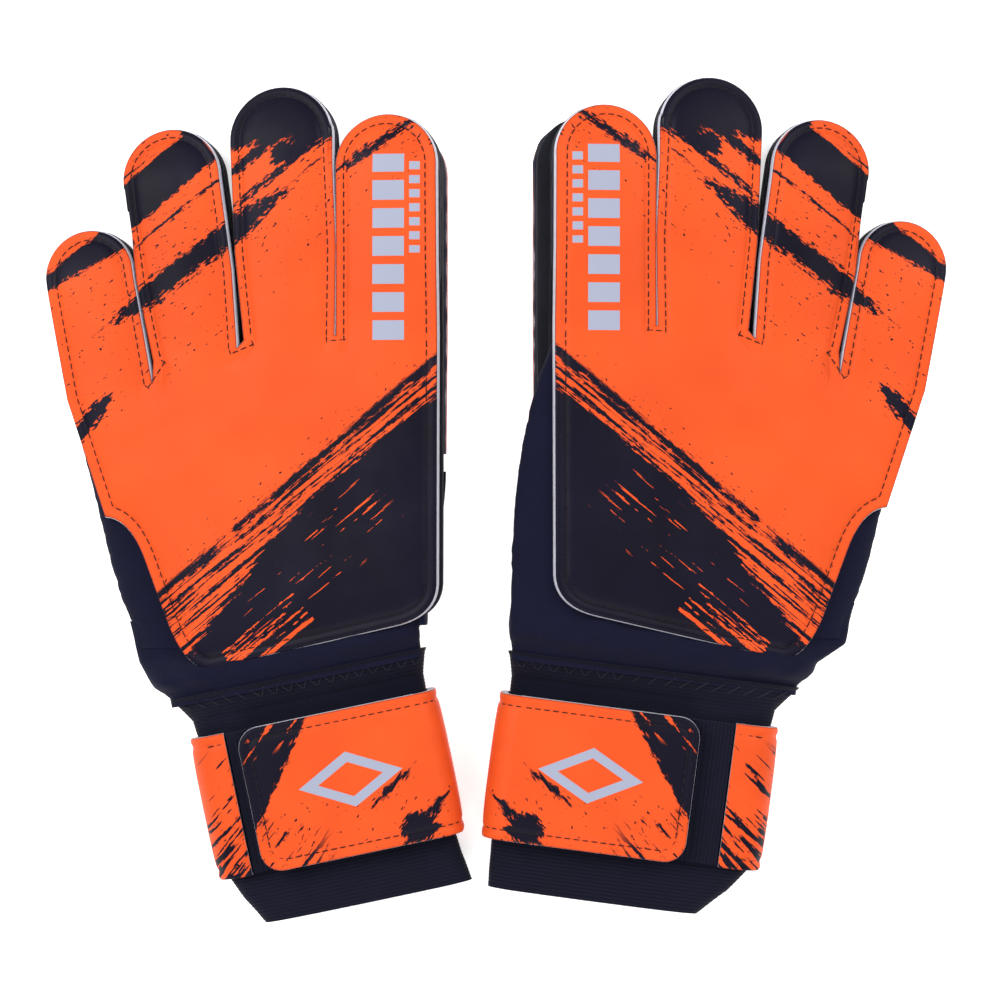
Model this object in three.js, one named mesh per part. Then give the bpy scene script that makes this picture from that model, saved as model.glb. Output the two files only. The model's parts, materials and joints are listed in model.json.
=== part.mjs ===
// A pair of goalkeeper gloves lying backhand up, fingers pointing along +Y,
// each thumb folded in under its index finger, each wrist strap closed.
// Millimetres, +Z up, origin under the middle of the pair, on the floor.
import * as THREE from "three";

// ---- one glove, in its own frame: +x to the little finger, +y to the fingertips ----
const HAND_X = 62; // middle of the hand to the middle of the pair
const HAND_ROLL = 8; // degrees: the folded thumb lifts the thumb side of the hand
const GAP = 0.3; // clearance kept between touching pieces

// Layers of the hand, measured from the middle of its thickness.
const BACK_TOP = 7.5;
const BACK_FOAM = 3.5;
const PALM_BOTTOM = -7.5;
const PALM_LATEX = 3.8;
const LINING = 0.6;
const WALL = 1.5; // stretch fabric
const CUFF_WALL = 2; // elastic, folded double
const EDGE = 1; // rounding of the foam plates
const INNER_TOP = BACK_TOP - BACK_FOAM - GAP;
const INNER_BOTTOM = PALM_BOTTOM + PALM_LATEX + GAP;

// Knuckle centre x and y, lean from +y in degrees, length to the tip, widths at knuckle
// and middle, and the room left before and behind the knuckle for its range of flex.
const FINGERS = {
  index: { x: -28.6, y: 50.5, lean: 0.3, length: 68, base: 30.4, wide: 31.2, back: 4.9, palm: 0.6 },
  middle: { x: 1.9, y: 49.6, lean: 2.5, length: 77.8, base: 27.4, wide: 31.8, back: 2.5, palm: 7.2 },
  ring: { x: 31.6, y: 44.6, lean: 8, length: 70.7, base: 25.6, wide: 30.4, back: 2.5, palm: 7.2 },
  little: { x: 58.7, y: 33.2, lean: 10.5, length: 51, base: 26.4, wide: 27.8, back: 2.5, palm: 7.2 },
};
const FINGER_KNEE = 0.35; // share of its length at which a finger reaches its full width
const GUSSET_INSET = 1; // gusset wall behind the edge of the foam
const LINING_INSET = 3;

// Backhand panel, from the little-finger knuckle round the wrist to the index knuckle.
const LITTLE_EDGE = new THREE.Vector2(60, -5.5);
const CUTAWAY = new THREE.Vector2(48.4, -8.9);
const CUTAWAY_END = new THREE.Vector2(41.2, -35.9);
const WRIST_LITTLE = new THREE.Vector2(27.8, -52.2);
const WRIST_THUMB = new THREE.Vector2(-34.5, -38.8);
const THUMB_EDGE_X = -44.2;
const CORNER = 9;
const BULGE_Y = 20; // the loose fabric at the root of the thumb
const WALL_END = -36;
const PALM_SIDE = new THREE.Vector2(56.4, -20.4); // the palm and its fabric run on past the cutaway
const PALM_HEEL = new THREE.Vector2(49.2, -43.4);

// Thumb, folded under the index finger with its latex facing up.
const THUMB_TOP = PALM_BOTTOM - 0.4;
const THUMB_LATEX = 3;
const THUMB_HOLLOW = 5.7;
const THUMB_FOAM = 2.7;
const THUMB_Y = 14;
const THUMB_LENGTH = 102;
const THUMB_WIDTH = 30;
const THUMB_BASE = 28;
const THUMB_HOLE = { x: -27, width: 18, low: -18, high: 7 };
const ROOT_END = 8.5; // the root panel stops short of the swinging thumb
const ROOT_START = -34;
const ROOT_KNEE = -12;
const ROOT_PANEL = 2.2;

// Wrist, in its own frame: +y along the arm to the hand, y = 0 at the middle of the strap.
const STRAP_HEIGHT = 45;
const STRAP_THICK = 2.8;
const CUFF_HALF_HEIGHT = 6.5;
const CUFF_LOW = -38.4;
const CUFF_HIGH = 36;
const CUFF_LOW_HALF = 32.8;
const STRETCH = 23.5; // the wrist swells between here and the hand
const TUBE_SIDES = 28;
const SQUARENESS = 0.62; // of the wrist's section: 1 is an ellipse
const ELASTIC = 1.8;
const PATCH = 1.2;
const PATCH_HEIGHT = 34;
const LOOP_SET_BACK = 3; // from the flap's free end
const HOOK_SET_BACK = 5;
const LOOP_LENGTH = 34;
const HOOK_LENGTH = 28;
const FLAP_LENGTH = 63;
const FLAP_CORNER = 7;
const FOLD_RADIUS = 6;
const STRAP_EDGE = 0.6;

const CUFF_MIDDLE = STRAP_THICK + 2 * GAP + CUFF_HALF_HEIGHT;
const ELASTIC_LOW = CUFF_MIDDLE + CUFF_HALF_HEIGHT + GAP;
const LOOP_LOW = ELASTIC_LOW + ELASTIC + GAP;
const HOOK_LOW = LOOP_LOW + PATCH + GAP;
const FLAP_LOW = HOOK_LOW + PATCH + GAP;

// The two gloves lie a little differently.
const LEFT = {
  name: "left", side: -1, shiftX: 0, shiftY: 0, thumbX: -28.7, bulge: -1,
  wristX: -13.5, wristY: -88, wristTilt: 11.8,
  strapHalf: 39.3, strapOffset: 5.4, lip: 11.5,
  sleeveHigh: 42.3, handHalf: 42.5, handOffset: 7.5,
};
const RIGHT = {
  name: "right", side: 1, shiftX: -1.9, shiftY: 3, thumbX: -32.5, bulge: 12.5,
  wristX: -28, wristY: -90.2, wristTilt: 7.5,
  strapHalf: 44, strapOffset: 7, lip: 14,
  sleeveHigh: 44.2, handHalf: 48.8, handOffset: 11.2,
};

const COLORS = {
  print: { color: 0xff6226, roughness: 0.5 },
  strap: { color: 0xfa5a14, roughness: 0.5 },
  latex: { color: 0x23252c, roughness: 0.9 },
  fabric: { color: 0x1c2038, roughness: 0.85 },
  elastic: { color: 0x1c1e32, roughness: 0.8 },
  lining: { color: 0x2c2f3a, roughness: 0.95 },
  hooks: { color: 0x191a1f, roughness: 0.6 },
};

const radians = THREE.MathUtils.degToRad;
const smooth = (value, low, high) => THREE.MathUtils.smoothstep(value, low, high);
const mix = THREE.MathUtils.lerp;

// Reflects a shape made for the right glove, and turns its triangles the right way out.
function mirrored(geometry) {
  const flat = geometry.index ? geometry.toNonIndexed() : geometry;
  const spots = flat.attributes.position;
  const swap = new THREE.Vector3();
  const other = new THREE.Vector3();
  flat.scale(-1, 1, 1);
  for (let i = 0; i < spots.count; i += 3) {
    swap.fromBufferAttribute(spots, i + 1);
    other.fromBufferAttribute(spots, i + 2);
    spots.setXYZ(i + 1, other.x, other.y, other.z);
    spots.setXYZ(i + 2, swap.x, swap.y, swap.z);
  }
  flat.computeVertexNormals();
  return flat;
}

// A group at a place of the right glove, reflected for the left one.
function seat(parent, glove, place, turn = {}) {
  const group = new THREE.Group();
  group.position.set(glove.side * place.x, place.y, place.z);
  group.rotation.y = glove.side * radians(turn.roll ?? 0);
  group.rotation.z = -glove.side * radians(turn.lean ?? 0);
  parent.add(group);
  return group;
}

function piece(parent, glove, name, geometry, finish) {
  const shape = glove.side < 0 ? mirrored(geometry) : geometry;
  const material = new THREE.MeshStandardMaterial({ ...COLORS[finish], metalness: 0 });
  const mesh = new THREE.Mesh(shape, material);
  mesh.name = `${glove.name}_${name}`;
  parent.add(mesh);
}

// A flat plate with slightly rounded edges between two heights.
function plate(outline, low, high, edge = EDGE) {
  const geometry = new THREE.ExtrudeGeometry(outline, {
    depth: high - low - 2 * edge, curveSegments: 8,
    bevelEnabled: edge > 0, bevelThickness: edge, bevelSize: edge, bevelOffset: -edge, bevelSegments: 1,
  });
  return geometry.translate(0, 0, low + edge);
}

// The outline of a band of one thickness that follows a path of points.
function band(points, thickness) {
  const edges = [thickness / 2, -thickness / 2].map((offset) => points.map((point, i) => {
    const before = points[Math.max(i - 1, 0)];
    const after = points[Math.min(i + 1, points.length - 1)];
    const along = after.clone().sub(before).normalize();
    return new THREE.Vector2(point.x - along.y * offset, point.y + along.x * offset);
  }));
  return new THREE.Shape([...edges[0], ...edges[1].reverse()]);
}

// A section in x and z pushed along the arm, centred on the strap.
function along(section, length, segments = 8) {
  const geometry = new THREE.ExtrudeGeometry(section, {
    depth: length, bevelEnabled: false, curveSegments: segments,
  });
  return geometry.rotateX(Math.PI / 2).translate(0, length / 2, 0);
}

// The side, tip and side of a finger stall as a path, `inset` inside its edge.
function stallPath(base, wide, length, inset, start = 0) {
  const half = wide / 2 - inset;
  const shoulder = length - wide / 2;
  const path = new THREE.Path();
  path.moveTo(-base / 2 + inset, start);
  path.lineTo(-half, length * FINGER_KNEE);
  path.absellipse(0, shoulder, half, wide / 2 - inset, Math.PI, 0, true);
  path.lineTo(half, length * FINGER_KNEE);
  path.lineTo(base / 2 - inset, start);
  return path;
}

function stallShape(base, wide, length) {
  return new THREE.Shape(stallPath(base, wide, length, 0).getPoints(7));
}

function stallBand(base, wide, length) {
  const inset = GUSSET_INSET + WALL / 2;
  return band(stallPath(base, wide, length, inset, GAP).getPoints(5), WALL);
}

// The two ends of a finger's knuckle line, `room` behind the knuckle.
function knuckleLine(finger, room, inset = 0) {
  const lean = radians(finger.lean);
  const ends = [-1, 1].map((end) => end * (finger.base / 2 - inset));
  return ends.map((x) => new THREE.Vector2(
    finger.x + x * Math.cos(lean) - room * Math.sin(lean),
    finger.y - x * Math.sin(lean) - room * Math.cos(lean),
  ));
}

// The hand's outline, with the room that each knuckle needs on this face.
function handShape(face, inset = 0) {
  const shape = new THREE.Shape();
  const tops = Object.values(FINGERS).flatMap(
    (finger) => knuckleLine(finger, finger[face] + inset, inset),
  );
  const wrist = WRIST_THUMB.clone().sub(WRIST_LITTLE).normalize();
  const left = THUMB_EDGE_X + inset;
  const low = WRIST_THUMB.y + inset;
  shape.moveTo(tops[0].x, tops[0].y);
  for (const top of tops.slice(1)) shape.lineTo(top.x, top.y);
  shape.lineTo(LITTLE_EDGE.x - inset, LITTLE_EDGE.y);
  if (face === "back") {
    shape.quadraticCurveTo(CUTAWAY.x - inset, CUTAWAY.y, CUTAWAY_END.x - inset, CUTAWAY_END.y);
  } else {
    shape.lineTo(PALM_SIDE.x - inset, PALM_SIDE.y);
    shape.lineTo(PALM_HEEL.x - inset, PALM_HEEL.y);
  }
  shape.quadraticCurveTo(
    WRIST_LITTLE.x + CORNER * 0.7 - inset, WRIST_LITTLE.y + inset,
    WRIST_LITTLE.x - inset, WRIST_LITTLE.y + inset,
  );
  const turn = WRIST_THUMB.clone().addScaledVector(wrist, -1);
  shape.lineTo(turn.x, turn.y + inset);
  shape.quadraticCurveTo(left + 1, low, left, low + CORNER);
  return shape;
}

function rectangle(centre, width, low, high) {
  const path = new THREE.Path();
  path.moveTo(centre - width / 2, low);
  path.lineTo(centre + width / 2, low);
  path.lineTo(centre + width / 2, high);
  path.lineTo(centre - width / 2, high);
  path.closePath();
  return path;
}

function withThumbHole(shape) {
  shape.holes.push(rectangle(THUMB_HOLE.x, THUMB_HOLE.width, THUMB_HOLE.low, THUMB_HOLE.high));
  return shape;
}

// ---- the pieces that stay with the hand ----
function buildHand(hand, glove) {
  const backInner = INNER_TOP - LINING;
  const palmInner = INNER_BOTTOM + LINING;
  piece(hand, glove, "backhand_panel", plate(handShape("back"), INNER_TOP + GAP, BACK_TOP), "print");
  const backLining = plate(handShape("back", LINING_INSET), backInner, INNER_TOP, 0);
  piece(hand, glove, "back_lining", backLining, "lining");
  const palm = withThumbHole(handShape("palm"));
  piece(hand, glove, "palm_pad", plate(palm, PALM_BOTTOM, INNER_BOTTOM - GAP), "latex");
  const lining = withThumbHole(handShape("palm", LINING_INSET));
  piece(hand, glove, "palm_lining", plate(lining, INNER_BOTTOM, palmInner, 0), "lining");

  const wallX = THUMB_EDGE_X + GUSSET_INSET;
  const bulge = new THREE.QuadraticBezierCurve(
    new THREE.Vector2(wallX, FINGERS.index.y - FINGERS.index.back),
    new THREE.Vector2(wallX - glove.bulge, BULGE_Y),
    new THREE.Vector2(wallX - glove.bulge, WALL_END),
  );
  const thumbWall = plate(band(bulge.getPoints(6), WALL), INNER_BOTTOM, INNER_TOP, 0);
  piece(hand, glove, "thumb_side_wall", thumbWall, "fabric");
  const knuckle = knuckleLine(FINGERS.little, FINGERS.little.palm, GUSSET_INSET)[1];
  const edge = new THREE.Vector2(GUSSET_INSET, 0);
  const side = [knuckle, ...[LITTLE_EDGE, PALM_SIDE, PALM_HEEL].map((end) => end.clone().sub(edge))];
  const littleWall = plate(band(side, WALL), INNER_BOTTOM, INNER_TOP, 0);
  piece(hand, glove, "little_side_wall", littleWall, "fabric");
}

// The panel that slopes from the palm down to the folded thumb.
function buildThumbRoot(hand, glove) {
  const low = THUMB_TOP - THUMB_LATEX - THUMB_HOLLOW - THUMB_FOAM + ROOT_PANEL / 2 + GAP;
  const slope = band([
    new THREE.Vector2(ROOT_START, THUMB_TOP - ROOT_PANEL),
    new THREE.Vector2(ROOT_KNEE, low),
    new THREE.Vector2(ROOT_END, low),
  ], ROOT_PANEL);
  const geometry = new THREE.ExtrudeGeometry(slope, { depth: THUMB_WIDTH, bevelEnabled: false });
  geometry.rotateX(Math.PI / 2).rotateZ(Math.PI / 2);
  geometry.translate(glove.thumbX - THUMB_WIDTH / 2, 0, 0);
  piece(hand, glove, "thumb_root_panel", geometry, "fabric");
}

// ---- one finger stall: foam back, latex palm and the gusset between them ----
function buildFinger(hand, glove, name) {
  const { x, y, lean, length, base, wide } = FINGERS[name];
  const finger = seat(hand, glove, { x, y, z: 0 }, { lean });
  finger.name = `${glove.name}_${name}_knuckle`;
  const shape = stallShape(base, wide, length);
  piece(finger, glove, `${name}_back`, plate(shape, INNER_TOP + GAP, BACK_TOP), "print");
  const gusset = plate(stallBand(base, wide, length), INNER_BOTTOM, INNER_TOP, 0);
  piece(finger, glove, `${name}_gusset`, gusset, "fabric");
  piece(finger, glove, `${name}_palm`, plate(shape, PALM_BOTTOM, INNER_BOTTOM - GAP), "latex");
}

function buildThumb(hand, glove) {
  const thumb = seat(hand, glove, { x: glove.thumbX, y: THUMB_Y, z: THUMB_TOP });
  thumb.name = `${glove.name}_thumb_crotch`;
  const shape = stallShape(THUMB_BASE, THUMB_WIDTH, THUMB_LENGTH);
  const hollowTop = -THUMB_LATEX;
  const hollowLow = hollowTop - THUMB_HOLLOW;
  piece(thumb, glove, "thumb_palm", plate(shape, hollowTop, 0), "latex");
  const wall = stallBand(THUMB_BASE, THUMB_WIDTH, THUMB_LENGTH);
  piece(thumb, glove, "thumb_gusset", plate(wall, hollowLow + GAP, hollowTop - GAP, 0), "fabric");
  piece(thumb, glove, "thumb_back", plate(shape, hollowLow - THUMB_FOAM, hollowLow), "print");
}

// ---- the wrist tube: where its middle is, how wide, how high and how rolled at each y ----
function wristSection(glove, y) {
  const inStrap = glove.strapHalf - STRAP_THICK - GAP * 2;
  const toHand = smooth(y, STRETCH, glove.sleeveHigh);
  const toStrap = smooth(y, CUFF_LOW, -STRETCH);
  const handZ = handHeight(glove);
  return {
    x: mix(mix(0, glove.strapOffset, toStrap), glove.handOffset, toHand),
    z: mix(CUFF_MIDDLE, handZ, toHand),
    halfWidth: mix(mix(CUFF_LOW_HALF, inStrap, toStrap), glove.handHalf, toHand),
    halfHeight: mix(CUFF_HALF_HEIGHT, BACK_TOP - GAP, toHand),
    roll: radians(HAND_ROLL) * toHand,
  };
}

// The height of the middle of the hand, so that its little-finger side lies on the floor.
function handMiddle() {
  const little = FINGERS.little;
  const edge = little.x + little.base / 2 + little.length * Math.sin(radians(little.lean)) / 2;
  return edge * Math.sin(radians(HAND_ROLL)) - PALM_BOTTOM * Math.cos(radians(HAND_ROLL));
}

function handHeight(glove) {
  const tilt = radians(glove.wristTilt);
  const x = glove.sleeveHigh * Math.sin(tilt) + glove.handOffset * Math.cos(tilt);
  return handMiddle() - (glove.wristX - glove.shiftX + x) * Math.sin(radians(HAND_ROLL));
}

// A flattened fabric tube that follows the wrist's sections.
function wristTube(glove, low, high, steps, wall) {
  const ring = new THREE.Shape().absarc(0, 0, 1, 0, 2 * Math.PI);
  const bore = 0.8; // only tells the inner wall from the outer one, both are set below
  ring.holes.push(new THREE.Path().absarc(0, 0, bore, 0, 2 * Math.PI));
  const geometry = new THREE.ExtrudeGeometry(ring, {
    depth: high - low, steps, bevelEnabled: false, curveSegments: TUBE_SIDES,
  });
  geometry.rotateX(Math.PI / 2).translate(0, high, 0);
  const spots = geometry.attributes.position;
  const squared = (value) => Math.sign(value) * Math.abs(value) ** SQUARENESS;
  for (let i = 0; i < spots.count; i += 1) {
    const [x, y, z] = [spots.getX(i), spots.getY(i), spots.getZ(i)];
    const section = wristSection(glove, y);
    const radius = Math.hypot(x, z);
    const inward = radius < (1 + bore) / 2 ? wall : 0;
    const across = squared(x / radius) * (section.halfWidth - inward);
    const up = squared(z / radius) * (section.halfHeight - inward);
    const { roll } = section;
    spots.setXYZ(
      i, section.x + across * Math.cos(roll) + up * Math.sin(roll), y,
      section.z - across * Math.sin(roll) + up * Math.cos(roll),
    );
  }
  geometry.computeVertexNormals();
  return geometry;
}

// ---- the strap: under the wrist, round its little-finger side, and back over it ----
function buildStrap(wrist, glove) {
  const thumbEdge = glove.strapOffset - glove.strapHalf;
  const littleEdge = glove.strapOffset + glove.strapHalf;
  const half = STRAP_THICK / 2;
  const foldTop = FLAP_LOW + half;
  const turn = (ELASTIC_LOW + STRAP_THICK) / 2;
  const path = new THREE.Path();
  path.moveTo(thumbEdge + half + FOLD_RADIUS, foldTop);
  path.absarc(thumbEdge + half + FOLD_RADIUS, foldTop - FOLD_RADIUS, FOLD_RADIUS, Math.PI / 2, Math.PI);
  path.absarc(thumbEdge + half + FOLD_RADIUS, half + FOLD_RADIUS, FOLD_RADIUS, Math.PI, 1.5 * Math.PI);
  path.absarc(littleEdge - turn, turn, turn - half, -Math.PI / 2, Math.PI / 2);
  path.lineTo(littleEdge - glove.lip, ELASTIC_LOW + half);
  piece(wrist, glove, "strap_base", along(band(path.getPoints(6), STRAP_THICK), STRAP_HEIGHT), "strap");

  const elasticEnd = littleEdge - glove.lip - GAP;
  const elasticStart = thumbEdge + FOLD_RADIUS + STRAP_THICK;
  const flat = (start, end, low, high, height) => along(
    new THREE.Shape(rectangle((start + end) / 2, end - start, low, high).getPoints()), height,
  );
  const elastic = flat(elasticStart, elasticEnd, ELASTIC_LOW, ELASTIC_LOW + ELASTIC, STRAP_HEIGHT - 2);
  piece(wrist, glove, "strap_elastic", elastic, "elastic");
  const freeEnd = thumbEdge + FLAP_LENGTH;
  const loopEnd = freeEnd - LOOP_SET_BACK;
  const loop = flat(loopEnd - LOOP_LENGTH, loopEnd, LOOP_LOW, LOOP_LOW + PATCH, PATCH_HEIGHT);
  piece(wrist, glove, "loop_patch", loop, "hooks");

  const hinge = { x: thumbEdge + FOLD_RADIUS + half, y: 0, z: FLAP_LOW + STRAP_THICK };
  const flap = seat(wrist, glove, hinge);
  flap.name = `${glove.name}_flap_fold`;
  const reach = freeEnd - hinge.x;
  const outline = new THREE.Shape();
  const top = STRAP_HEIGHT / 2;
  outline.moveTo(GAP, -top);
  outline.lineTo(reach - FLAP_CORNER, -top);
  outline.absarc(reach - FLAP_CORNER, FLAP_CORNER - top, FLAP_CORNER, -Math.PI / 2, 0);
  outline.absarc(reach - FLAP_CORNER, top - FLAP_CORNER, FLAP_CORNER, 0, Math.PI / 2);
  outline.lineTo(GAP, top);
  piece(flap, glove, "strap_flap", plate(outline, -STRAP_THICK, 0, STRAP_EDGE), "strap");
  const hookEnd = reach - HOOK_SET_BACK;
  const hookLow = HOOK_LOW - hinge.z;
  const hook = flat(hookEnd - HOOK_LENGTH, hookEnd, hookLow, hookLow + PATCH, PATCH_HEIGHT - 4);
  piece(flap, glove, "hook_patch", hook, "hooks");
}

function buildGlove(pair, glove) {
  const whole = seat(pair, glove, { x: HAND_X, y: glove.shiftY, z: 0 });
  const hand = seat(whole, glove, { x: glove.shiftX, y: 0, z: handMiddle() }, { roll: HAND_ROLL });
  buildHand(hand, glove);
  buildThumbRoot(hand, glove);
  for (const name of Object.keys(FINGERS)) buildFinger(hand, glove, name);
  buildThumb(hand, glove);

  const wrist = seat(whole, glove, { x: glove.wristX, y: glove.wristY, z: 0 }, { lean: glove.wristTilt });
  const sleeve = wristTube(glove, CUFF_HIGH + GAP, glove.sleeveHigh, 3, WALL);
  piece(wrist, glove, "wrist_sleeve", sleeve, "fabric");
  piece(wrist, glove, "elastic_cuff", wristTube(glove, CUFF_LOW, CUFF_HIGH, 9, CUFF_WALL), "elastic");
  buildStrap(wrist, glove);
}

const pair = new THREE.Group();
buildGlove(pair, LEFT);
buildGlove(pair, RIGHT);

// The origin goes to the middle of the pair's box, on the floor.
pair.updateMatrixWorld(true);
const box = new THREE.Box3().setFromObject(pair, true);
const middle = box.getCenter(new THREE.Vector3());
pair.position.set(-middle.x, -middle.y, -box.min.z);

export default pair;
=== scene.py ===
import json
import math

import bmesh
import bpy
import numpy as np
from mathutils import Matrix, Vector, noise
from mathutils.geometry import delaunay_2d_cdt


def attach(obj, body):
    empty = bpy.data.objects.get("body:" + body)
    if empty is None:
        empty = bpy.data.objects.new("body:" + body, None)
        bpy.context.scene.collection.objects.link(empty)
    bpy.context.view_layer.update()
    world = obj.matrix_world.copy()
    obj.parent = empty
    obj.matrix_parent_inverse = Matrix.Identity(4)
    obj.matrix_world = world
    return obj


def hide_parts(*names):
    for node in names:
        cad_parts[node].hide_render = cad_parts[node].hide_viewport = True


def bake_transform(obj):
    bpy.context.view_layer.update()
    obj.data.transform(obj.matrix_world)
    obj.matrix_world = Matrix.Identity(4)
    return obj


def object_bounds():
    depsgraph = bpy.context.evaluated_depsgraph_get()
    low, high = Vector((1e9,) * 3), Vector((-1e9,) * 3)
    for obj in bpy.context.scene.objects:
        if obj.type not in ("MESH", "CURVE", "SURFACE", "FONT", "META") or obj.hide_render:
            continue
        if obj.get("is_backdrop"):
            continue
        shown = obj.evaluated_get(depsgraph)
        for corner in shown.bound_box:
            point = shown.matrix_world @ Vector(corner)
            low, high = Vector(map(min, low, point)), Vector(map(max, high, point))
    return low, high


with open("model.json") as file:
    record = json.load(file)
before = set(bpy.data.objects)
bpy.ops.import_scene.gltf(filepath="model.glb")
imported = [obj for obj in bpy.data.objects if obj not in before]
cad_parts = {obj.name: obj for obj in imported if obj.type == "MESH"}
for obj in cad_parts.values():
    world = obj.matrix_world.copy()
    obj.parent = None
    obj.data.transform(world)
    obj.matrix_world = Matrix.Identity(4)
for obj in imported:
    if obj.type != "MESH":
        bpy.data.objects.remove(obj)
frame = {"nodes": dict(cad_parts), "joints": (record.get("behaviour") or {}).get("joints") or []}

bl_info = {
    "name": "Goalkeeper Gloves",
    "version": (1, 0, 0),
    "blender": (4, 5, 0),
    "location": "View3D > Sidebar > Gloves",
    "description": "Builds a pair of padded goalkeeper gloves around a jointed frame",
    "category": "Add Mesh",
}

CAD_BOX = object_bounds()
JOINTS = {joint["name"]: joint for joint in frame["joints"]}
MM = 0.001
GLOVES = ("left", "right")
FINGERS = ("index", "middle", "ring", "little")

# ---- the sewn sheets ----
STEP = 0.9 * MM  # spacing of points along an outline
RINGS = [depth * MM for depth in (0.3, 0.7, 1.3, 2.1, 2.8, 3.3, 3.7, 4.2, 5.0, 6.2)]
GRID = 2.1 * MM  # spacing of the points further in
SKIN = 0.55 * MM  # how far the skin rolls down at a cut edge
GROOVE = 0.4 * MM  # how deep a seam pulls the skin in
TIP_CURL = 20 * MM  # length of fingertip that rolls down
FLEX = 14 * MM  # length of finger that bends at the knuckle
KNEE = 0.35  # share of a finger along which it widens
# How far each glove's side fabric hangs past its frame, thumb side and little-finger side.
SLACK = {"left": (-1.2 * MM, 3.8 * MM), "right": (0.6 * MM, 0.4 * MM)}
# What each gusset strip has sewn in along its two edges.
HEM = 2.0 * MM
SLIT_CLOSING = 0.6 * MM  # the soft edges of a slit lie closer together than its stiff frame
THREAD = 0.18 * MM
STITCH = 2.3 * MM
STITCH_GAP = 0.5 * MM
RIB = 1.15 * MM  # pitch of the elastic's ribs
RIB_ROWS = 4  # rows of mesh to each rib
FLAP_CORNER = 6.5 * MM
HOOK = ((-0.1, 0.2), (0.35, 0.14), (0.42, 0.3), (0.55, 0.18))  # a hook's depths and radii, mm
PAST_FOLD = -60 * MM  # where the flap's outline is carried on to, so that its fold has no edge
# The thumb is cut from another part of the print, this far towards the little finger.
THUMB_PRINT = 34 * MM

# Backhand panel below the knuckles, from the middle knuckle, to the little-finger side and the tips.
SIDE_END = (58.2, -55.2)
CUTAWAY_TOP = (50.5, -55.6)
CUTAWAY = (45.6, -68.5)
CUTAWAY_END = (39.3, -85.5)
WRIST_LITTLE = (33.0, -103.0)
WRIST_START = (24.5, -102.0)
WRIST_END = (-33.0, -88.6)
WRIST_THUMB = (-45.6, -85.7)
THUMB_EDGE = (-46.1, -76.0)
PALM_SIDE = (54.5, -70.0)
PALM_HEEL = (47.3, -93.0)
PALM_CORNER = (42.0, -100.0)


def smooth(value, low, high):
    t = np.clip((value - low) / (high - low), 0, 1)
    return t * t * (3 - 2 * t)


# ------------------------------------------------------------------ frames
def cad_points(node):
    mesh = frame["nodes"][node].data
    points = np.empty(len(mesh.vertices) * 3)
    mesh.vertices.foreach_get("co", points)
    return points.reshape(-1, 3)


class Seat:
    """A place on one glove: x to its little-finger side, y to the fingertips, z out of the backhand."""

    def __init__(self, glove, origin, along, up):
        self.glove = glove
        self.side = -1 if glove == "left" else 1
        self.origin = np.array(origin, float)
        self.along = np.array(along, float)
        self.up = np.array(up, float)
        self.across = self.side * np.cross(self.along, self.up)
        self.axes = np.array([self.across, self.along, self.up])

    def local(self, points):
        return (np.asarray(points, float) - self.origin) @ self.axes.T

    def row(self, points):
        return self.origin + np.asarray(points, float) @ self.axes

    def node(self, name):
        return self.local(cad_points(f"{self.glove}_{name}"))


class Stall:
    """A finger or thumb: where it starts on the hand, its direction and its measures."""

    def __init__(self, hand, name):
        joint = JOINTS[f"{hand.glove}_{name}_" + ("swing" if name == "thumb" else "curl")]
        self.name = name
        self.hand = hand
        self.root = hand.local([joint["pos_m"]])[0]
        axis = hand.axes @ np.array(joint["axis"])
        across = np.array([1.0, 0.0]) if name == "thumb" else -hand.side * axis[:2]
        self.across = across / np.linalg.norm(across)
        self.along = np.array([-self.across[1], self.across[0]])
        spots = hand.node(f"{name}_back")
        s, t = self.measure(spots[:, :2])
        self.length = s.max()
        self.half = np.abs(t).max()
        self.base = np.abs(t[s < 0.5 * MM]).max() + SLIT_CLOSING

    def measure(self, xy):
        away = np.asarray(xy) - self.root[:2]
        return away @ self.along, away @ self.across

    def place(self, s, t):
        return self.root[:2] + np.multiply.outer(s, self.along) + np.multiply.outer(t, self.across)

    def outline(self, low=0.0, high=0.0, step=STEP):
        """Round the finger from its thumb side over the tip, `low` and `high` in from its two edges."""
        shoulder = self.length - self.half
        knee = KNEE * self.length
        points = [(0.0, low - self.base), (knee, low - self.half)]
        for a in np.linspace(math.pi, 0, 33):
            inset = low + (high - low) * (1 + math.cos(a)) / 2
            points.append((shoulder + (self.half - inset) * math.sin(a), (self.half - inset) * math.cos(a)))
        points += [(knee, self.half - high), (0.0, self.base - high)]
        points = resample(points, step)
        return self.place(points[:, 0], points[:, 1])


class Hand(Seat):
    def __init__(self, glove):
        up = np.array(JOINTS[f"{glove}_thumb_swing"]["axis"])
        up = up if up[2] > 0 else -up
        super().__init__(glove, JOINTS[f"{glove}_middle_curl"]["pos_m"], (0, 1, 0), up)
        self.stalls = {name: Stall(self, name) for name in FINGERS}
        self.thumb = Stall(self, "thumb")

    def levels(self, node):
        heights = self.node(node)[:, 2]
        return heights.min(), heights.max()

    def drop(self, xy, amount):
        """How far the fingertips roll down at each point."""
        fall = np.zeros(len(xy))
        for stall in self.stalls.values():
            s, t = stall.measure(xy)
            near = (s > 0) & (np.abs(t) < stall.half + 2 * MM)
            roll = smooth(s, stall.length - TIP_CURL, stall.length + 4 * MM)
            fall = np.maximum(fall, near * roll * amount)
        return fall


class Wrist(Seat):
    """The wrist: y = 0 at the middle of the strap, x = 0 at the fold of the flap, z = 0 on the floor."""

    def __init__(self, glove):
        joint = JOINTS[f"{glove}_flap_peel"]
        side = -1 if glove == "left" else 1
        origin = np.array(joint["pos_m"]) * (1, 1, 0)
        super().__init__(glove, origin, -side * np.array(joint["axis"]), (0, 0, 1))
        self.fold = joint["pos_m"][2]


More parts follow.
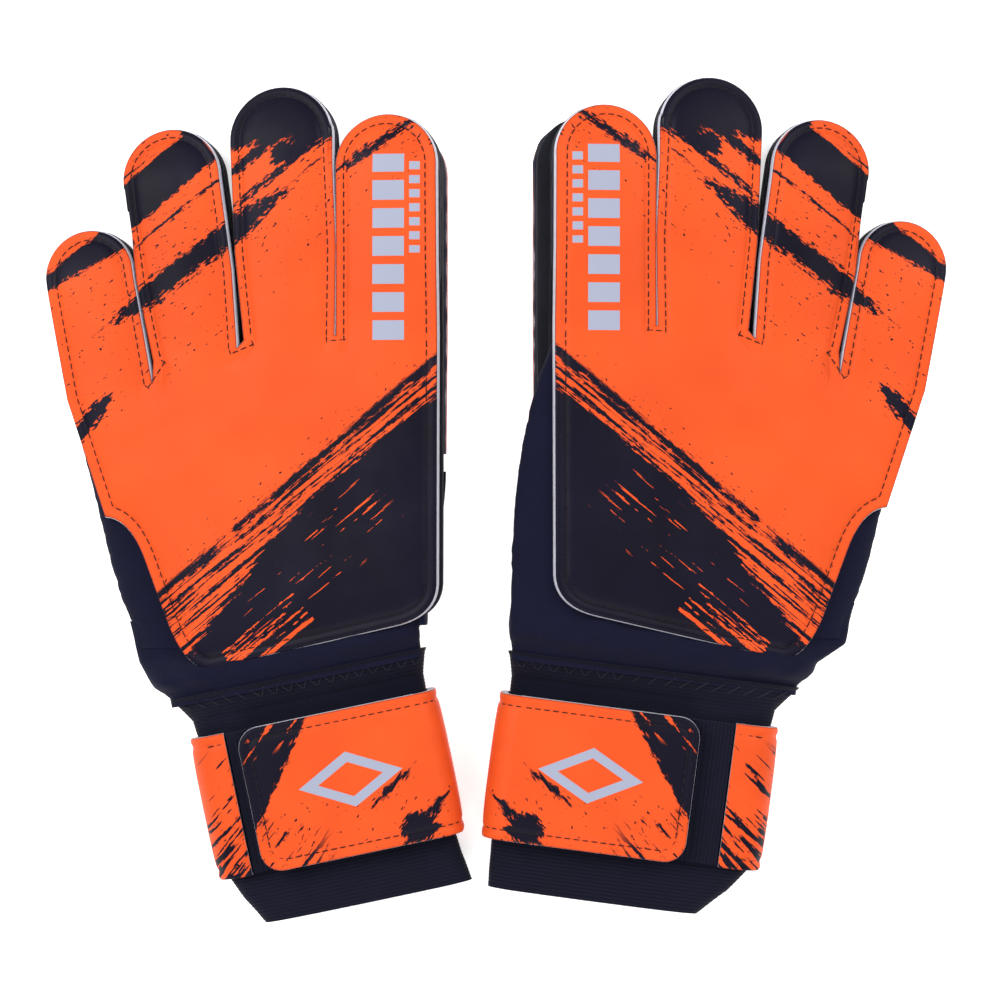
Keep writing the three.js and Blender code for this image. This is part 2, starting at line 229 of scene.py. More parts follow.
# ------------------------------------------------------------------ outlines
def resample(points, step):
    """The same open line with evenly spaced points between its corners."""
    points = np.asarray(points, float)
    out = [points[:1]]
    for a, b in zip(points[:-1], points[1:]):
        count = max(1, round(float(np.linalg.norm(b - a)) / step))
        out.append(a + (b - a) * (np.arange(1, count + 1) / count)[:, None])
    return np.vstack(out)


def curve(a, control, b, count=12):
    t = np.linspace(0, 1, count)[:, None]
    a, control, b = (np.array(point, float) for point in (a, control, b))
    return (1 - t) ** 2 * a + 2 * t * (1 - t) * control + t * t * b


def even(points, step):
    """An open line with points at one spacing all along, corners rounded off."""
    points = np.asarray(points, float)
    gaps = np.linalg.norm(np.diff(points, axis=0), axis=1)
    reach = np.concatenate([[0], np.cumsum(gaps)])
    count = max(2, int(reach[-1] / step))
    where = np.linspace(0, reach[-1], count)
    return np.column_stack([np.interp(where, reach, points[:, k]) for k in range(points.shape[1])])


def inside(points, loop):
    """Which points lie inside a closed outline."""
    x, y = points[:, 0][:, None], points[:, 1][:, None]
    a, b = loop, np.roll(loop, -1, axis=0)
    crosses = (a[:, 1] > y) != (b[:, 1] > y)
    rise = np.where(b[:, 1] == a[:, 1], 1.0, b[:, 1] - a[:, 1])
    at = (b[:, 0] - a[:, 0]) * (y - a[:, 1]) / rise + a[:, 0]
    return (np.sum(crosses & (x < at), axis=1) % 2) == 1


def distance(points, rim):
    """Distance from each point to the nearest stretch of a closed outline."""
    a, b = rim, np.roll(rim, -1, axis=0)
    run = b - a
    size = np.maximum((run**2).sum(1), 1e-18)
    best = np.full(len(points), np.inf)
    for low in range(0, len(points), 2000):
        p = points[low:low + 2000, None, :]
        t = np.clip(((p - a) * run).sum(2) / size, 0, 1)
        near = a + t[..., None] * run
        best[low:low + 2000] = np.sqrt(((p - near) ** 2).sum(2).min(1))
    return best


def inward(rim):
    """Unit normals of a clockwise outline, pointing into it."""
    run = np.roll(rim, -1, axis=0) - np.roll(rim, 1, axis=0)
    run /= np.maximum(np.linalg.norm(run, axis=1), 1e-12)[:, None]
    return np.column_stack([run[:, 1], -run[:, 0]])


def hand_edge(hand, palm=False):
    """The outline of the hand from the little-finger knuckle round the wrist to the index knuckle."""
    last, first = hand.stalls["little"], hand.stalls["index"]
    start = last.place(np.array([0.0]), np.array([last.base]))
    end = first.place(np.array([0.0]), np.array([-first.base]))
    if palm:
        side = np.array([SIDE_END, PALM_SIDE, PALM_HEEL]) * MM
        corner = curve(PALM_HEEL, PALM_CORNER, WRIST_START) * MM
    else:
        hollow = curve(SIDE_END, CUTAWAY_TOP, CUTAWAY)
        side = np.vstack([hollow, [CUTAWAY_END]]) * MM
        corner = curve(CUTAWAY_END, WRIST_LITTLE, WRIST_START) * MM
    wrist = curve(WRIST_END, WRIST_THUMB, THUMB_EDGE) * MM
    return resample(np.vstack([start, side, corner[1:], wrist, end]), STEP)


def hand_rim(hand, palm=False):
    stalls = np.vstack([stall.outline() for stall in hand.stalls.values()])
    return np.vstack([stalls, hand_edge(hand, palm)[1:-1]])


def knuckle_cut(stall):
    ends = stall.place(np.array([0.0, 0.0]), np.array([-stall.base, stall.base]))
    return resample(ends, STEP)


def hand_loop(hand, palm=False):
    """The part of the hand's outline that doesn't bend: its fingers are cut off at the knuckles."""
    cuts = np.vstack([knuckle_cut(stall) for stall in hand.stalls.values()])
    return np.vstack([cuts, hand_edge(hand, palm)[1:-1]])


def stall_loop(stall):
    return np.vstack([stall.outline(), knuckle_cut(stall)[::-1][1:-1]])


# ------------------------------------------------------------------ meshes
def ripple(points, size, seed):
    """Smooth noise from -1 to 1 at each point."""
    scaled = np.column_stack([np.asarray(points) / size, np.full(len(points), float(seed))])
    return np.array([noise.noise(Vector(point[:3])) for point in scaled])


def new_piece(name, points, faces, materials, kinds=None, marks=None, sharp=40):
    mesh = bpy.data.meshes.new(name)
    mesh.from_pydata(np.asarray(points).tolist(), [], [list(map(int, face)) for face in faces])
    for material in materials:
        mesh.materials.append(material)
    if kinds is not None:
        mesh.polygons.foreach_set("material_index", np.asarray(kinds, np.int32))
    if marks is not None:
        layer = mesh.attributes.new("print", "FLOAT_VECTOR", "POINT")
        layer.data.foreach_set("vector", np.asarray(marks, np.float32).ravel())
    work = bmesh.new()
    work.from_mesh(mesh)
    bmesh.ops.recalc_face_normals(work, faces=work.faces[:])
    work.to_mesh(mesh)
    work.free()
    mesh.update()
    piece = bpy.data.objects.new(name, mesh)
    bpy.context.collection.objects.link(piece)
    bpy.ops.object.select_all(action="DESELECT")
    piece.select_set(True)
    bpy.context.view_layer.objects.active = piece
    bpy.ops.object.shade_smooth_by_angle(angle=math.radians(sharp))
    return piece


def layer(seat, name, loop, rim, top, bottom, materials, flare=0.0, grid=GRID, rings=RINGS):
    """A sewn sheet: `top` and `bottom` give its two faces' heights from place and depth from the rim."""
    normals = inward(rim)
    rows = [rim + normals * depth for depth in rings]
    keep = [row[distance(row, rim) > 0.96 * depth] for row, depth in zip(rows, rings)]
    low, high = loop.min(0), loop.max(0)
    xs = np.arange(low[0], high[0], grid)
    ys = np.arange(low[1], high[1], grid)
    mesh_grid = np.array([(x + (k % 2) * grid / 2, y) for k, y in enumerate(ys) for x in xs])
    keep.append(mesh_grid[distance(mesh_grid, rim) > rings[-1] + 0.4 * grid])
    fill = np.vstack(keep)
    fill = fill[inside(fill, loop)]
    fill = fill[distance(fill, loop) > 0.25 * MM]
    flat = np.vstack([loop, fill])
    spots, _, tris, *_ = delaunay_2d_cdt(
        [Vector(p) for p in flat.tolist()], [], [list(range(len(loop)))], 1, 1e-8,
    )
    xy = np.array([tuple(p) for p in spots])
    tris = np.array([tri for tri in tris if len(tri) == 3])
    depth = distance(xy, rim)
    upper = np.column_stack([xy, top(xy, depth)])
    edges = {}
    for tri in tris.tolist():
        for a, b in zip(tri, tri[1:] + tri[:1]):
            key = (min(a, b), max(a, b))
            edges[key] = None if key in edges else (a, b)
    border = [edge for edge in edges.values() if edge]
    lip = sorted({a for edge in border for a in edge})
    out = np.zeros_like(xy)
    nearest = np.array([np.argmin(((rim - xy[i]) ** 2).sum(1)) for i in lip])
    on_rim = depth[lip] < 0.02 * MM
    out[lip] = -normals[nearest] * on_rim[:, None]
    lower_xy = xy + out * flare
    lower = np.column_stack([lower_xy, bottom(xy, depth)])
    count = len(xy)
    middle_xy = xy[lip] + out[lip] * flare * 0.9
    middle = np.column_stack([middle_xy, upper[lip, 2] * 0.6 + lower[lip, 2] * 0.4])
    at = {v: 2 * count + k for k, v in enumerate(lip)}
    points = np.vstack([upper, lower, middle])
    faces = [*tris.tolist(), *(tris[:, ::-1] + count).tolist()]
    kinds = [0] * len(tris) + [1] * len(tris)
    for a, b in border:
        faces += [[b, a, at[a], at[b]], [at[b], at[a], a + count, b + count]]
        kinds += [1, 1]
    marks = np.vstack([xy, lower_xy, middle_xy])
    marks = np.column_stack([marks, np.concatenate([depth, depth, depth[lip]])]) / (10 * MM)
    return new_piece(name, seat.row(points), faces, materials, kinds, marks)


def sweep(seat, name, path, profile, materials):
    """A closed profile carried along an open flat path. profile(i) gives its (out, z) points."""
    run = np.gradient(path, axis=0)
    run /= np.linalg.norm(run, axis=1)[:, None]
    out = np.column_stack([-run[:, 1], run[:, 0]])
    rings = []
    for i, (spot, away) in enumerate(zip(path, out)):
        section = profile(i)
        rings.append(np.column_stack([spot + np.multiply.outer(section[:, 0], away), section[:, 1]]))
    points = np.vstack(rings)
    return new_piece(name, seat.row(points), tube_faces(len(path), len(rings[0])), materials)


def tube_faces(rows, size, closed=False):
    faces = []
    for i in range(rows if closed else rows - 1):
        a, b = i * size, ((i + 1) % rows) * size
        faces += [[a + k, a + (k + 1) % size, b + (k + 1) % size, b + k] for k in range(size)]
    if not closed:
        faces.append(list(range(size))[::-1])
        faces.append([(rows - 1) * size + k for k in range(size)])
    return faces


def stitches(name, lines, material, length=STITCH, gap=STITCH_GAP, thread=THREAD):
    """Short stitches along lines of (points, ups): each dives into the cloth at its ends."""
    reach = np.array([-0.5, -0.38, 0.0, 0.38, 0.5]) * length
    girth = np.array([0.25, 0.85, 1.0, 0.85, 0.25]) * thread
    rise = np.array([-1.6, 0.3, 0.75, 0.3, -1.6]) * thread
    sides = 6
    turn = np.arange(sides) * 2 * math.pi / sides
    points, faces = [], []
    for line, ups in lines:
        gaps = np.linalg.norm(np.diff(line, axis=0), axis=1)
        total = np.concatenate([[0], np.cumsum(gaps)])
        centres = np.arange(length / 2, total[-1] - length / 3, length + gap)
        for centre in centres:
            spots = [np.array([np.interp(centre + r, total, line[:, k]) for k in range(3)]) for r in reach]
            up = np.array([np.interp(centre, total, ups[:, k]) for k in range(3)])
            run = spots[-1] - spots[0]
            run /= max(np.linalg.norm(run), 1e-9)
            side = np.cross(run, up)
            side /= max(np.linalg.norm(side), 1e-9)
            first = len(points)
            for spot, size, lift in zip(spots, girth, rise):
                for a in turn:
                    points.append(spot + side * size * math.cos(a) + up * (lift + size * math.sin(a)))
            faces += [[first + k for k in face] for face in tube_faces(len(reach), sides)]
    return new_piece(name, points, faces, [material], sharp=60)


def ride_finger(piece, hand, name):
    """Bakes the piece's transform into its mesh; the stretch of finger that would bend, from the knuckle
    on, is worked out but not used.
    """
    stall = hand.stalls[name] if name in hand.stalls else hand.thumb
    run = np.append(stall.along, 0)
    start = stall.root - run * (FLEX / 2 if name == "thumb" else 0)
    end = stall.root + run * (FLEX / 2 if name == "thumb" else FLEX)
    hand.row(start)
    hand.row(end)
    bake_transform(piece)


def cloth(piece, rows, held, *under, hem=0.0):
    """Measures a sheet from its surface, rows of points: flat, it is as long as they are, plus its hems.
    The measure is not kept.
    """
    rows = np.array(rows)
    across = np.linalg.norm(np.diff(rows, axis=1), axis=2).sum(1).mean()
    along = np.linalg.norm(np.diff(rows, axis=0), axis=2).sum(0).mean()
    float(across + 2 * hem)


def stand_for(piece, slot, *nodes):
    if nodes:
        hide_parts(*nodes)


# ------------------------------------------------------------------ shader wires
class Wire:
    """A number on a shader's wire. Arithmetic on it adds the Math nodes."""

    def __init__(self, paint, socket):
        self.paint = paint
        self.socket = socket

    def math(self, operation, *others, clamp=False):
        settings = {"operation": operation, "use_clamp": clamp}
        node = self.paint.node("ShaderNodeMath", settings, {})
        for slot, item in zip(node.inputs, (self, *others)):
            self.paint.feed(slot, item)
        return Wire(self.paint, node.outputs[0])

    def __add__(self, other):
        return self.math("ADD", other)

    __radd__ = __add__

    def __mul__(self, other):
        return self.math("MULTIPLY", other)

    __rmul__ = __mul__

    def __sub__(self, other):
        return self.math("SUBTRACT", other)

    def __rsub__(self, other):
        return (self * -1) + other

    def __truediv__(self, other):
        return self.math("DIVIDE", other)

    def size(self):
        return self.math("ABSOLUTE")

    def top(self, other):
        return self.math("MAXIMUM", other)

    def low(self, other):
        return self.math("MINIMUM", other)

    def wave(self):
        return self.math("SINE")

    def ramp(self, low, high):
        """0 below low and 1 above high, smooth between; falls where low is above high."""
        node = self.paint.node("ShaderNodeMapRange", {"interpolation_type": "SMOOTHSTEP"}, {
            "Value": self, "From Min": low, "From Max": high,
        })
        return Wire(self.paint, node.outputs["Result"])


class Paint:
    """One material, with the calls that lay out its nodes."""

    def __init__(self, name):
        self.material = bpy.data.materials.new(name)
        self.material.use_nodes = True
        self.tree = self.material.node_tree
        self.shader = self.tree.nodes["Principled BSDF"]

    def feed(self, slot, item):
        if isinstance(item, Wire):
            self.tree.links.new(item.socket, slot)
        elif isinstance(item, bpy.types.NodeSocket):
            self.tree.links.new(item, slot)
        else:
            slot.default_value = item

    def node(self, kind, settings, inputs):
        node = self.tree.nodes.new(kind)
        for key, value in settings.items():
            setattr(node, key, value)
        for key, item in inputs.items():
            self.feed(node.inputs[key], item)
        return node

    def place(self):
        """The point on the object, in millimetres, as three wires."""
        spot = self.node("ShaderNodeTexCoord", {}, {}).outputs["Object"]
        return [wire * 1000 for wire in self.split(spot)]

    def mark(self):
        """The point on the sheet's own print, in millimetres: across, along and in from the edge."""
        spot = self.node("ShaderNodeAttribute", {"attribute_name": "print"}, {}).outputs["Vector"]
        return [wire * 10 for wire in self.split(spot)]

    def split(self, vector):
        node = self.node("ShaderNodeSeparateXYZ", {}, {"Vector": vector})
        return [Wire(self, node.outputs[k]) for k in range(3)]

    def join(self, x, y, z=0.0):
        return self.node("ShaderNodeCombineXYZ", {}, {"X": x, "Y": y, "Z": z}).outputs["Vector"]

    def cloud(self, vector, scale=1.0, detail=2.0, rough=0.5):
        node = self.node("ShaderNodeTexNoise", {}, {
            "Vector": vector, "Scale": scale, "Detail": detail, "Roughness": rough,
        })
        return Wire(self, node.outputs[0])

    def cells(self, vector, scale):
        node = self.node("ShaderNodeTexVoronoi", {}, {"Vector": vector, "Scale": scale})
        return Wire(self, node.outputs["Distance"])

    def blend(self, share, first, second):
        node = self.node("ShaderNodeMix", {"data_type": "RGBA"}, {})
        for slot, item in ((node.inputs[0], share), (node.inputs[6], first), (node.inputs[7], second)):
            self.feed(slot, item)
        return node.outputs[2]

    def bump(self, height, depth, strength=1.0):
        """Relief from a wire of 0 to 1 that stands for `depth` millimetres."""
        inputs = {"Height": height, "Distance": depth * MM, "Strength": strength}
        node = self.node("ShaderNodeBump", {}, inputs)
        self.tree.links.new(node.outputs[0], self.shader.inputs["Normal"])

    def finish(self, colour, roughness, **fixed):
        self.feed(self.shader.inputs["Base Color"], colour)
        self.feed(self.shader.inputs["Roughness"], roughness)
        for key, value in fixed.items():
            self.shader.inputs[key.replace("_", " ").title().replace("Ior", "IOR")].default_value = value
        return self.material


def shade(colour, factor):
    return tuple(min(1.0, part * factor) for part in colour[:3]) + (1.0,)


# ------------------------------------------------------------------ the print
LEAN = math.radians(39)  # the brush strokes climb towards the thumb
STRAP_LEAN = math.radians(43)
BAR_PITCH = 8.6
PRINT_FINISH = {"coat_weight": 0.01, "coat_roughness": 0.4, "specular_ior_level": 0.08}


def stroke_frame(x, y, angle=LEAN):
    """p along the brush strokes, towards the thumb and the tips; q across them, upwards."""
    p = y * math.sin(angle) - x * math.cos(angle)
    q = x * math.sin(angle) + y * math.cos(angle)
    return p, q


def dab(p, q, rag, p0, p1, q0, q1, half, end=5.0):
    """One ragged brush mark from (p0, q0) to (p1, q1), half as wide as `half`, roughened by the wire `rag`.
    """
    slope = (q1 - q0) / (p1 - p0)
    across = ((p - p0) * slope + q0 - q).size()
    along = (p - (p0 + p1) / 2).size() - (p1 - p0) / 2
    return (along.top(0.0) * (half / end) + across - half + rag).ramp(0.25, -0.25)


def above(p, q, rag, p0, q0, p1, q1, low, high):
    """Black past a ragged line, between two ends along the strokes."""
    slope = (q1 - q0) / (p1 - p0)
    depth = q - ((p - p0) * slope + q0) + rag
    ends = p.ramp(low - 0.5, low) * p.ramp(high + 0.5, high)
    return depth.ramp(-0.2, 0.3) * ends


def backhand_print(colours):
    paint = Paint("backhand_print")
    x, y, edge = paint.mark()
    p, q = stroke_frame(x, y)
    streak = paint.cloud(paint.join(p * 0.05, q * 0.9), 1.0, 3.0, 0.6) - 0.5
    fine = paint.cloud(paint.join(p * 0.35, q * 1.1, 3.0), 1.0, 3.0, 0.65) - 0.5
    speck = paint.cloud(paint.join(p * 0.45, q * 0.9, 9.0), 1.0, 2.0, 0.6)
    broad = paint.cloud(paint.join(p * 0.06, q * 0.12, 5.0), 1.0, 2.0, 0.5) - 0.5
    rag = fine * 9 + streak * 5

    # The dark field at the root of the thumb, its streaked border and the flecks inside it.
    border = (p + 30).low(0.0) * 0.25 - 42.2
    solid = (border - q + fine * 5 + streak * 9).ramp(-0.3, 0.3)
    upper = p * 0.02 - 33.4
    zone = (q - border + 3.0).ramp(0, 1) * (upper - q).ramp(-0.6, 0.4)
    lines = paint.cloud(paint.join(p * 0.028, q * 0.75, 21.0), 1.0, 3.0, 0.62)
    streaks = zone * (lines + fine * 0.35).ramp(0.50, 0.53)
    crest = ((q - upper + 1.2 + streak * 3).size() - 1.1 + fine * 5).ramp(0.3, -0.3)
    crest = crest * (broad + fine * 0.6).ramp(-0.17, -0.10)
    spatter = (q - upper).ramp(0, 0.5) * (speck + (q - upper) * -0.012).ramp(0.625, 0.645)
    spatter = spatter * (q - upper).ramp(13, 9)
    flecks = (p + 36).size().ramp(31, 24) * (border - q - 4.0).ramp(0, 3) * (q + 70).ramp(0, 4)
    scratch = paint.cloud(paint.join(p * 0.05, q * 0.8, 33.0), 1.0, 2.5, 0.6)
    flecks = flecks * (scratch + fine * 0.2 + broad * 0.12).ramp(0.632, 0.645)
    low = (p + 63).size().ramp(17, 14) * (q + 67).size().ramp(7.5, 5.5)
    low_lines = paint.cloud(paint.join(p * 0.02, q * 0.55, 47.0), 1.0, 3.0, 0.6) + fine * 0.3
    low_streak = (low * 0.4 + low_lines).ramp(0.95, 0.96)
    dark = solid.top(streaks).top(crest).top(spatter) * (1 - flecks.top(low_streak))

    # Fingertips, bands across the fingers and the patch on the little-finger edge.
    finger = (x - 18.8).ramp(0.4, 0.0) * (x + 14.5).ramp(0.0, 0.4)
    middle = above(p, q, rag * 0.9, 18.0, 59.0, 36.0, 49.5, 14.0, 85.0)
    middle = middle.top(dab(p, q, rag * 0.6, 14, 36, 51.5, 50.5, 1.5))
    middle = middle.top(dab(p, q, rag * 0.7, 16, 40, 42.2, 41.6, 0.9))
    middle = middle.top(dab(p, q, rag * 0.9, 34, 54, 44.8, 42.6, 3.4)) * finger
    ring = above(p, q, rag * 0.6, -17.6, 57.0, 16.7, 57.6, -24.0, 17.0) * (x - 19.5).ramp(0, 0.3)
    cap = (q - 70.2 + rag * 0.45).ramp(0.0, 0.4) * (p - 13 + rag * 0.5).ramp(0.4, 0.0)
    ring = ring * (1 - cap * (lines + fine * 0.3).ramp(0.62, 0.58))
    ring = ring.top(dab(p, q, rag * 0.6, -12, 12, 52.6, 52.0, 0.45))
    little = above(p, q, rag * 0.7, -50.2, 59.8, -21.7, 54.4, -60.0, -19.5)
    little = little * (q - 64.4 + rag * 0.45).ramp(0.3, -0.3)
    bands = dab(p, q, rag * 1.15, -26, 14, 38.4, 36.6, 3.6, 16.0)
    bands = bands.top(dab(p, q, rag * 0.9, 50, 70, 29.6, 28.0, 1.4))
    bands = bands.top(dab(p, q, rag * 0.9, -71, -59, 19.2, 21.0, 2.6))
    thin = ((q - 36.8).size() - 0.3 + fine * 3).ramp(0.2, -0.2) * (p - 31).size().ramp(14, 12)
    bands = bands.top(thin * (broad + fine * 0.5).ramp(0.03, 0.06))
    dust = (speck + broad * 0.22).ramp(0.665, 0.68) * (q - 10).ramp(0, 6)
    dark = dark.top(middle).top(ring).top(little).top(bands).top(dust)

    # A row of plain grey bars up the index finger, and a row of small ones beside it.
    column = (x + 31.3).size().ramp(5.0, 4.8) * (y - 27.4).size().ramp(29.0, 28.8)
    rung = (y * (2 * math.pi / BAR_PITCH)).wave().ramp(-0.62, -0.55)
    small = (x + 39.4).size().ramp(1.7, 1.5) * (y - 40.0).size().ramp(14.2, 14.0)
    dots = (y * (4 * math.pi / BAR_PITCH)).wave().ramp(-0.3, -0.2)
    bars = (column * rung).top(small * dots)

    tone = paint.cloud(paint.join(x * 0.03, y * 0.03, 1.0), 1.0, 2.0)
    orange = paint.blend(tone.ramp(0.3, 0.7), shade(colours.orange, 0.9), shade(colours.orange, 1.06))
    black = paint.blend(tone.ramp(0.35, 0.65), shade(colours.black, 0.85), shade(colours.black, 1.25))
    inked = paint.blend(dark, orange, black)
    marked = paint.blend(bars, inked, tuple(colours.mark))
    # Within half a millimetre of the cut edge, where the skin rolls down, the colour is mixed up to halfway
    # towards a dark ink tone.
    final_colour = paint.blend(edge.ramp(0.45, 0.1) * 0.5, marked, shade(colours.black, 1.5))
    grain = paint.cloud(paint.join(x, y), 2.2, 3.0)
    paint.bump(grain * 0.5 + tone * 0.5 + dark * 0.12, 0.05)
    rough = grain * 0.12 + 0.42 - dark * 0.05
    return paint.finish(final_colour, rough, **PRINT_FINISH)


def strap_print(colours):
    """The strap's print; x runs from the flap's free end towards the thumb, y up the arm."""
    paint = Paint("strap_print")
    x, y, edge = paint.mark()
    p, q = stroke_frame(x * -1, y, STRAP_LEAN)
    fine = paint.cloud(paint.join(p * 0.3, q * 1.0, 3.0), 1.0, 3.0, 0.65) - 0.5
    streak = paint.cloud(paint.join(p * 0.05, q * 0.8, 6.0), 1.0, 3.0, 0.6) - 0.5
    speck = paint.cloud(paint.join(p * 0.4, q * 0.8, 9.0), 1.0, 2.0, 0.6)
    rag = fine * 7 + streak * 4
    lines = paint.cloud(paint.join(p * 0.05, q * 0.5, 14.0), 1.0, 2.5, 0.6) + fine * 0.25
    wedge = (y - 22.5 + (22.5 - x) * 1.42 + rag * 1.3).ramp(-0.4, 0.4)
    wedge = wedge * x.ramp(31, 29) * (x + 3).ramp(0, 0.3)
    corner = (y - 11 - x * 0.2).ramp(0, 3) * (lines + rag * 0.02).ramp(0.60, 0.62)
    wedge = wedge * (1 - corner)
    blotch = (((x - 50) * (x - 50) / 34.0) + ((y + 18) * (y + 18) / 22.0) + rag * 0.45).ramp(1.15, 0.95)
    blotch = blotch.top(dab(p, q, rag * 0.7, 20, 34, -46.5, -47.5, 1.1))
    blotch = blotch.top(dab(p, q, rag * 0.7, 27, 34, -32.5, -33.5, 0.9))
    lower = (y + 4 + x * 0.35).ramp(0.5, -2) * x.ramp(26, 15) * lines.ramp(0.545, 0.565)
    lip = (x + 2.5).ramp(0, -0.5) * (y - 15).ramp(4, -2)
    lip = lip * (lines + (y - 6) * -0.004).ramp(0.575, 0.595)
    dust = (speck + streak * 0.1).ramp(0.66, 0.675) * (y + 4).ramp(4, -4)
    dark = wedge.top(blotch).top(lower).top(lip).top(dust)
    lozenge = (x - 32.0).size() / 17.0 + (y - 1.0).size() / 9.0
    mark = (lozenge - 0.78).size().ramp(0.19, 0.17)
    tone = paint.cloud(paint.join(x * 0.05, y * 0.05, 1.0), 1.0, 2.0)
    orange = paint.blend(tone.ramp(0.3, 0.7), shade(colours.strap, 0.92), shade(colours.strap, 1.06))
    inked = paint.blend(dark, orange, tuple(colours.black))
    marked = paint.blend(mark, inked, tuple(colours.mark))
    # Within 0.4 mm of the edge, where the skin rolls down, the colour is mixed up to 40% towards a dark ink
    # tone.
    final_colour = paint.blend(edge.ramp(0.4, 0.1) * 0.4, marked, shade(colours.black, 1.5))
    grain = paint.cloud(paint.join(x, y), 2.2, 3.0)
    paint.bump(grain * 0.5 + tone * 0.5, 0.05)
    return paint.finish(final_colour, grain * 0.12 + 0.42, **PRINT_FINISH)


# ------------------------------------------------------------------ cloth, foam and rubber
def foam_finish(colours):
    paint = Paint("white_foam")
    x, y, z = paint.place()
    pores = paint.cells(paint.join(x, y, z), 3.2)
    tone = paint.cloud(paint.join(x, y, z), 0.5, 2.0)
    colour = paint.blend(tone.ramp(0.3, 0.7), shade(colours.foam, 0.88), tuple(colours.foam))
    paint.bump(pores, 0.12)
    return paint.finish(colour, tone * 0.1 + 0.75)


def knit_finish(name, colour, pitch=0.55, depth=0.12, contrast=0.5):
    """Stretch knit: rows of small stitches."""
    paint = Paint(name)
    x, y, z = paint.place()
    turn = 2 * math.pi / pitch
    rows = ((x + z * 0.5) * turn).wave() * ((y + z * 0.5) * turn * 0.8).wave()
    tone = paint.cloud(paint.join(x, y, z), 0.12, 3.0)
    fuzz = paint.cloud(paint.join(x, y, z), 3.0, 2.0)
    deep, pale = shade(colour, 1 - contrast * 0.5), shade(colour, 1 + contrast)
    mixed = (rows * 0.25 + 0.25 + tone * 0.4 + fuzz * 0.2).ramp(0.2, 0.85)
    paint.bump(rows * 0.35 + 0.35 + fuzz * 0.3, depth)
    mixed = paint.blend(mixed, deep, pale)
    return paint.finish(mixed, fuzz * 0.1 + 0.78, specular_ior_level=0.12, sheen_weight=0.04)


def ribbed_finish(name, colour):
    """Woven elastic: the ribs are in the shape, the cords and picks of the weave are here."""
    paint = Paint(name)
    x, y, _ = paint.mark()
    picks = (x * (2 * math.pi / 0.75)).wave()
    cords = (y * (2 * math.pi * MM / RIB)).wave()
    fuzz = paint.cloud(paint.join(x, y, 2.0), 2.5, 2.0)
    tone = paint.cloud(paint.join(x, y, 4.0), 0.08, 2.0)
    mixed = (picks * 0.12 + cords * 0.22 + fuzz * 0.35 + tone * 0.35 + 0.1).ramp(0.1, 0.9)
    paint.bump(picks * 0.3 + fuzz * 0.3 + 0.35, 0.12)
    colour = paint.blend(mixed, shade(colour, 0.6), shade(colour, 1.7))
    return paint.finish(colour, fuzz * 0.1 + 0.75, specular_ior_level=0.12, sheen_weight=0.03)


def latex_finish(colours):
    paint = Paint("palm_latex")
    x, y, z = paint.place()
    pores = paint.cells(paint.join(x, y, z), 2.4)
    tone = paint.cloud(paint.join(x, y, z), 0.1, 3.0)
    colour = paint.blend(tone.ramp(0.3, 0.7), shade(colours.latex, 0.8), shade(colours.latex, 1.3))
    paint.bump(pores * 0.7 + tone * 0.3, 0.15)
    return paint.finish(colour, tone * 0.1 + 0.85, specular_ior_level=0.2)


def thread_finish(name, colour):
    paint = Paint(name)
    x, y, z = paint.place()
    twist = ((x + y + z) * (2 * math.pi / 0.5)).wave()
    fuzz = paint.cloud(paint.join(x, y, z), 6.0, 1.0)
    paint.bump(twist * 0.4 + 0.5, 0.05)
    final_colour = paint.blend(fuzz, shade(colour, 0.7), shade(colour, 1.5))
    return paint.finish(final_colour, 0.6, specular_ior_level=0.2)


def floor_finish():
    paint = Paint("pale_floor")
    x, y, _ = paint.place()
    tone = paint.cloud(paint.join(x, y), 0.02, 2.0)
    paint.shader.inputs["Emission Color"].default_value = (1, 1, 1, 1)
    white = paint.blend(tone, (0.97, 0.97, 0.97, 1), (0.99, 0.99, 0.99, 1))
    return paint.finish(white, 0.9, emission_strength=0.6)


FINISHES = {}


def finishes():
    """Every finish, made once."""
    if not FINISHES:
        colours = bpy.context.scene.glove_colours
        FINISHES.update(
            backhand=backhand_print(colours), strap=strap_print(colours), foam=foam_finish(colours),
            knit=knit_finish("stretch_knit", colours.fabric), latex=latex_finish(colours),
            lining=knit_finish("soft_lining", colours.lining, 0.8, 0.1, 0.3),
            elastic=ribbed_finish("ribbed_elastic", colours.elastic),
            tape=knit_finish("fastening_tape", colours.tape, 0.4, 0.15, 0.4),
            thread=thread_finish("dark_thread", colours.thread), floor=floor_finish(),
        )
    return FINISHES


# ------------------------------------------------------------------ settings
def colour_setting(name, value, description):
    return bpy.props.FloatVectorProperty(
        name=name, description=description, subtype="COLOR", size=4, min=0, max=1, default=(*value, 1.0),
    )


class GloveColours(bpy.types.PropertyGroup):
    """Base colours of the gloves."""

    orange: colour_setting("Backhand", (0.66, 0.074, 0.014), "Printed backhand")
    strap: colour_setting("Strap", (0.66, 0.074, 0.014), "Printed strap")
    black: colour_setting("Ink", (0.0045, 0.0038, 0.0105), "Dark ink of both prints")
    mark: colour_setting("Bars", (0.29, 0.31, 0.40), "Grey bars and lozenge")
    foam: colour_setting("Foam", (0.55, 0.55, 0.62), "Cut edge of the foam")
    fabric: colour_setting("Fabric", (0.0026, 0.0030, 0.0140), "Stretch fabric")
    elastic: colour_setting("Elastic", (0.0030, 0.0032, 0.0105), "Ribbed elastic")
    latex: colour_setting("Latex", (0.009, 0.0095, 0.014), "Palm latex")
    lining: colour_setting("Lining", (0.012, 0.013, 0.02), "Inner lining")
    tape: colour_setting("Tape", (0.0035, 0.0035, 0.006), "Fastening tape")
    thread: colour_setting("Thread", (0.010, 0.0045, 0.006), "Stitching")


def length_setting(name, value, description):
    return bpy.props.FloatProperty(
        name=name, description=description, unit="LENGTH", min=0.0, default=value,
    )


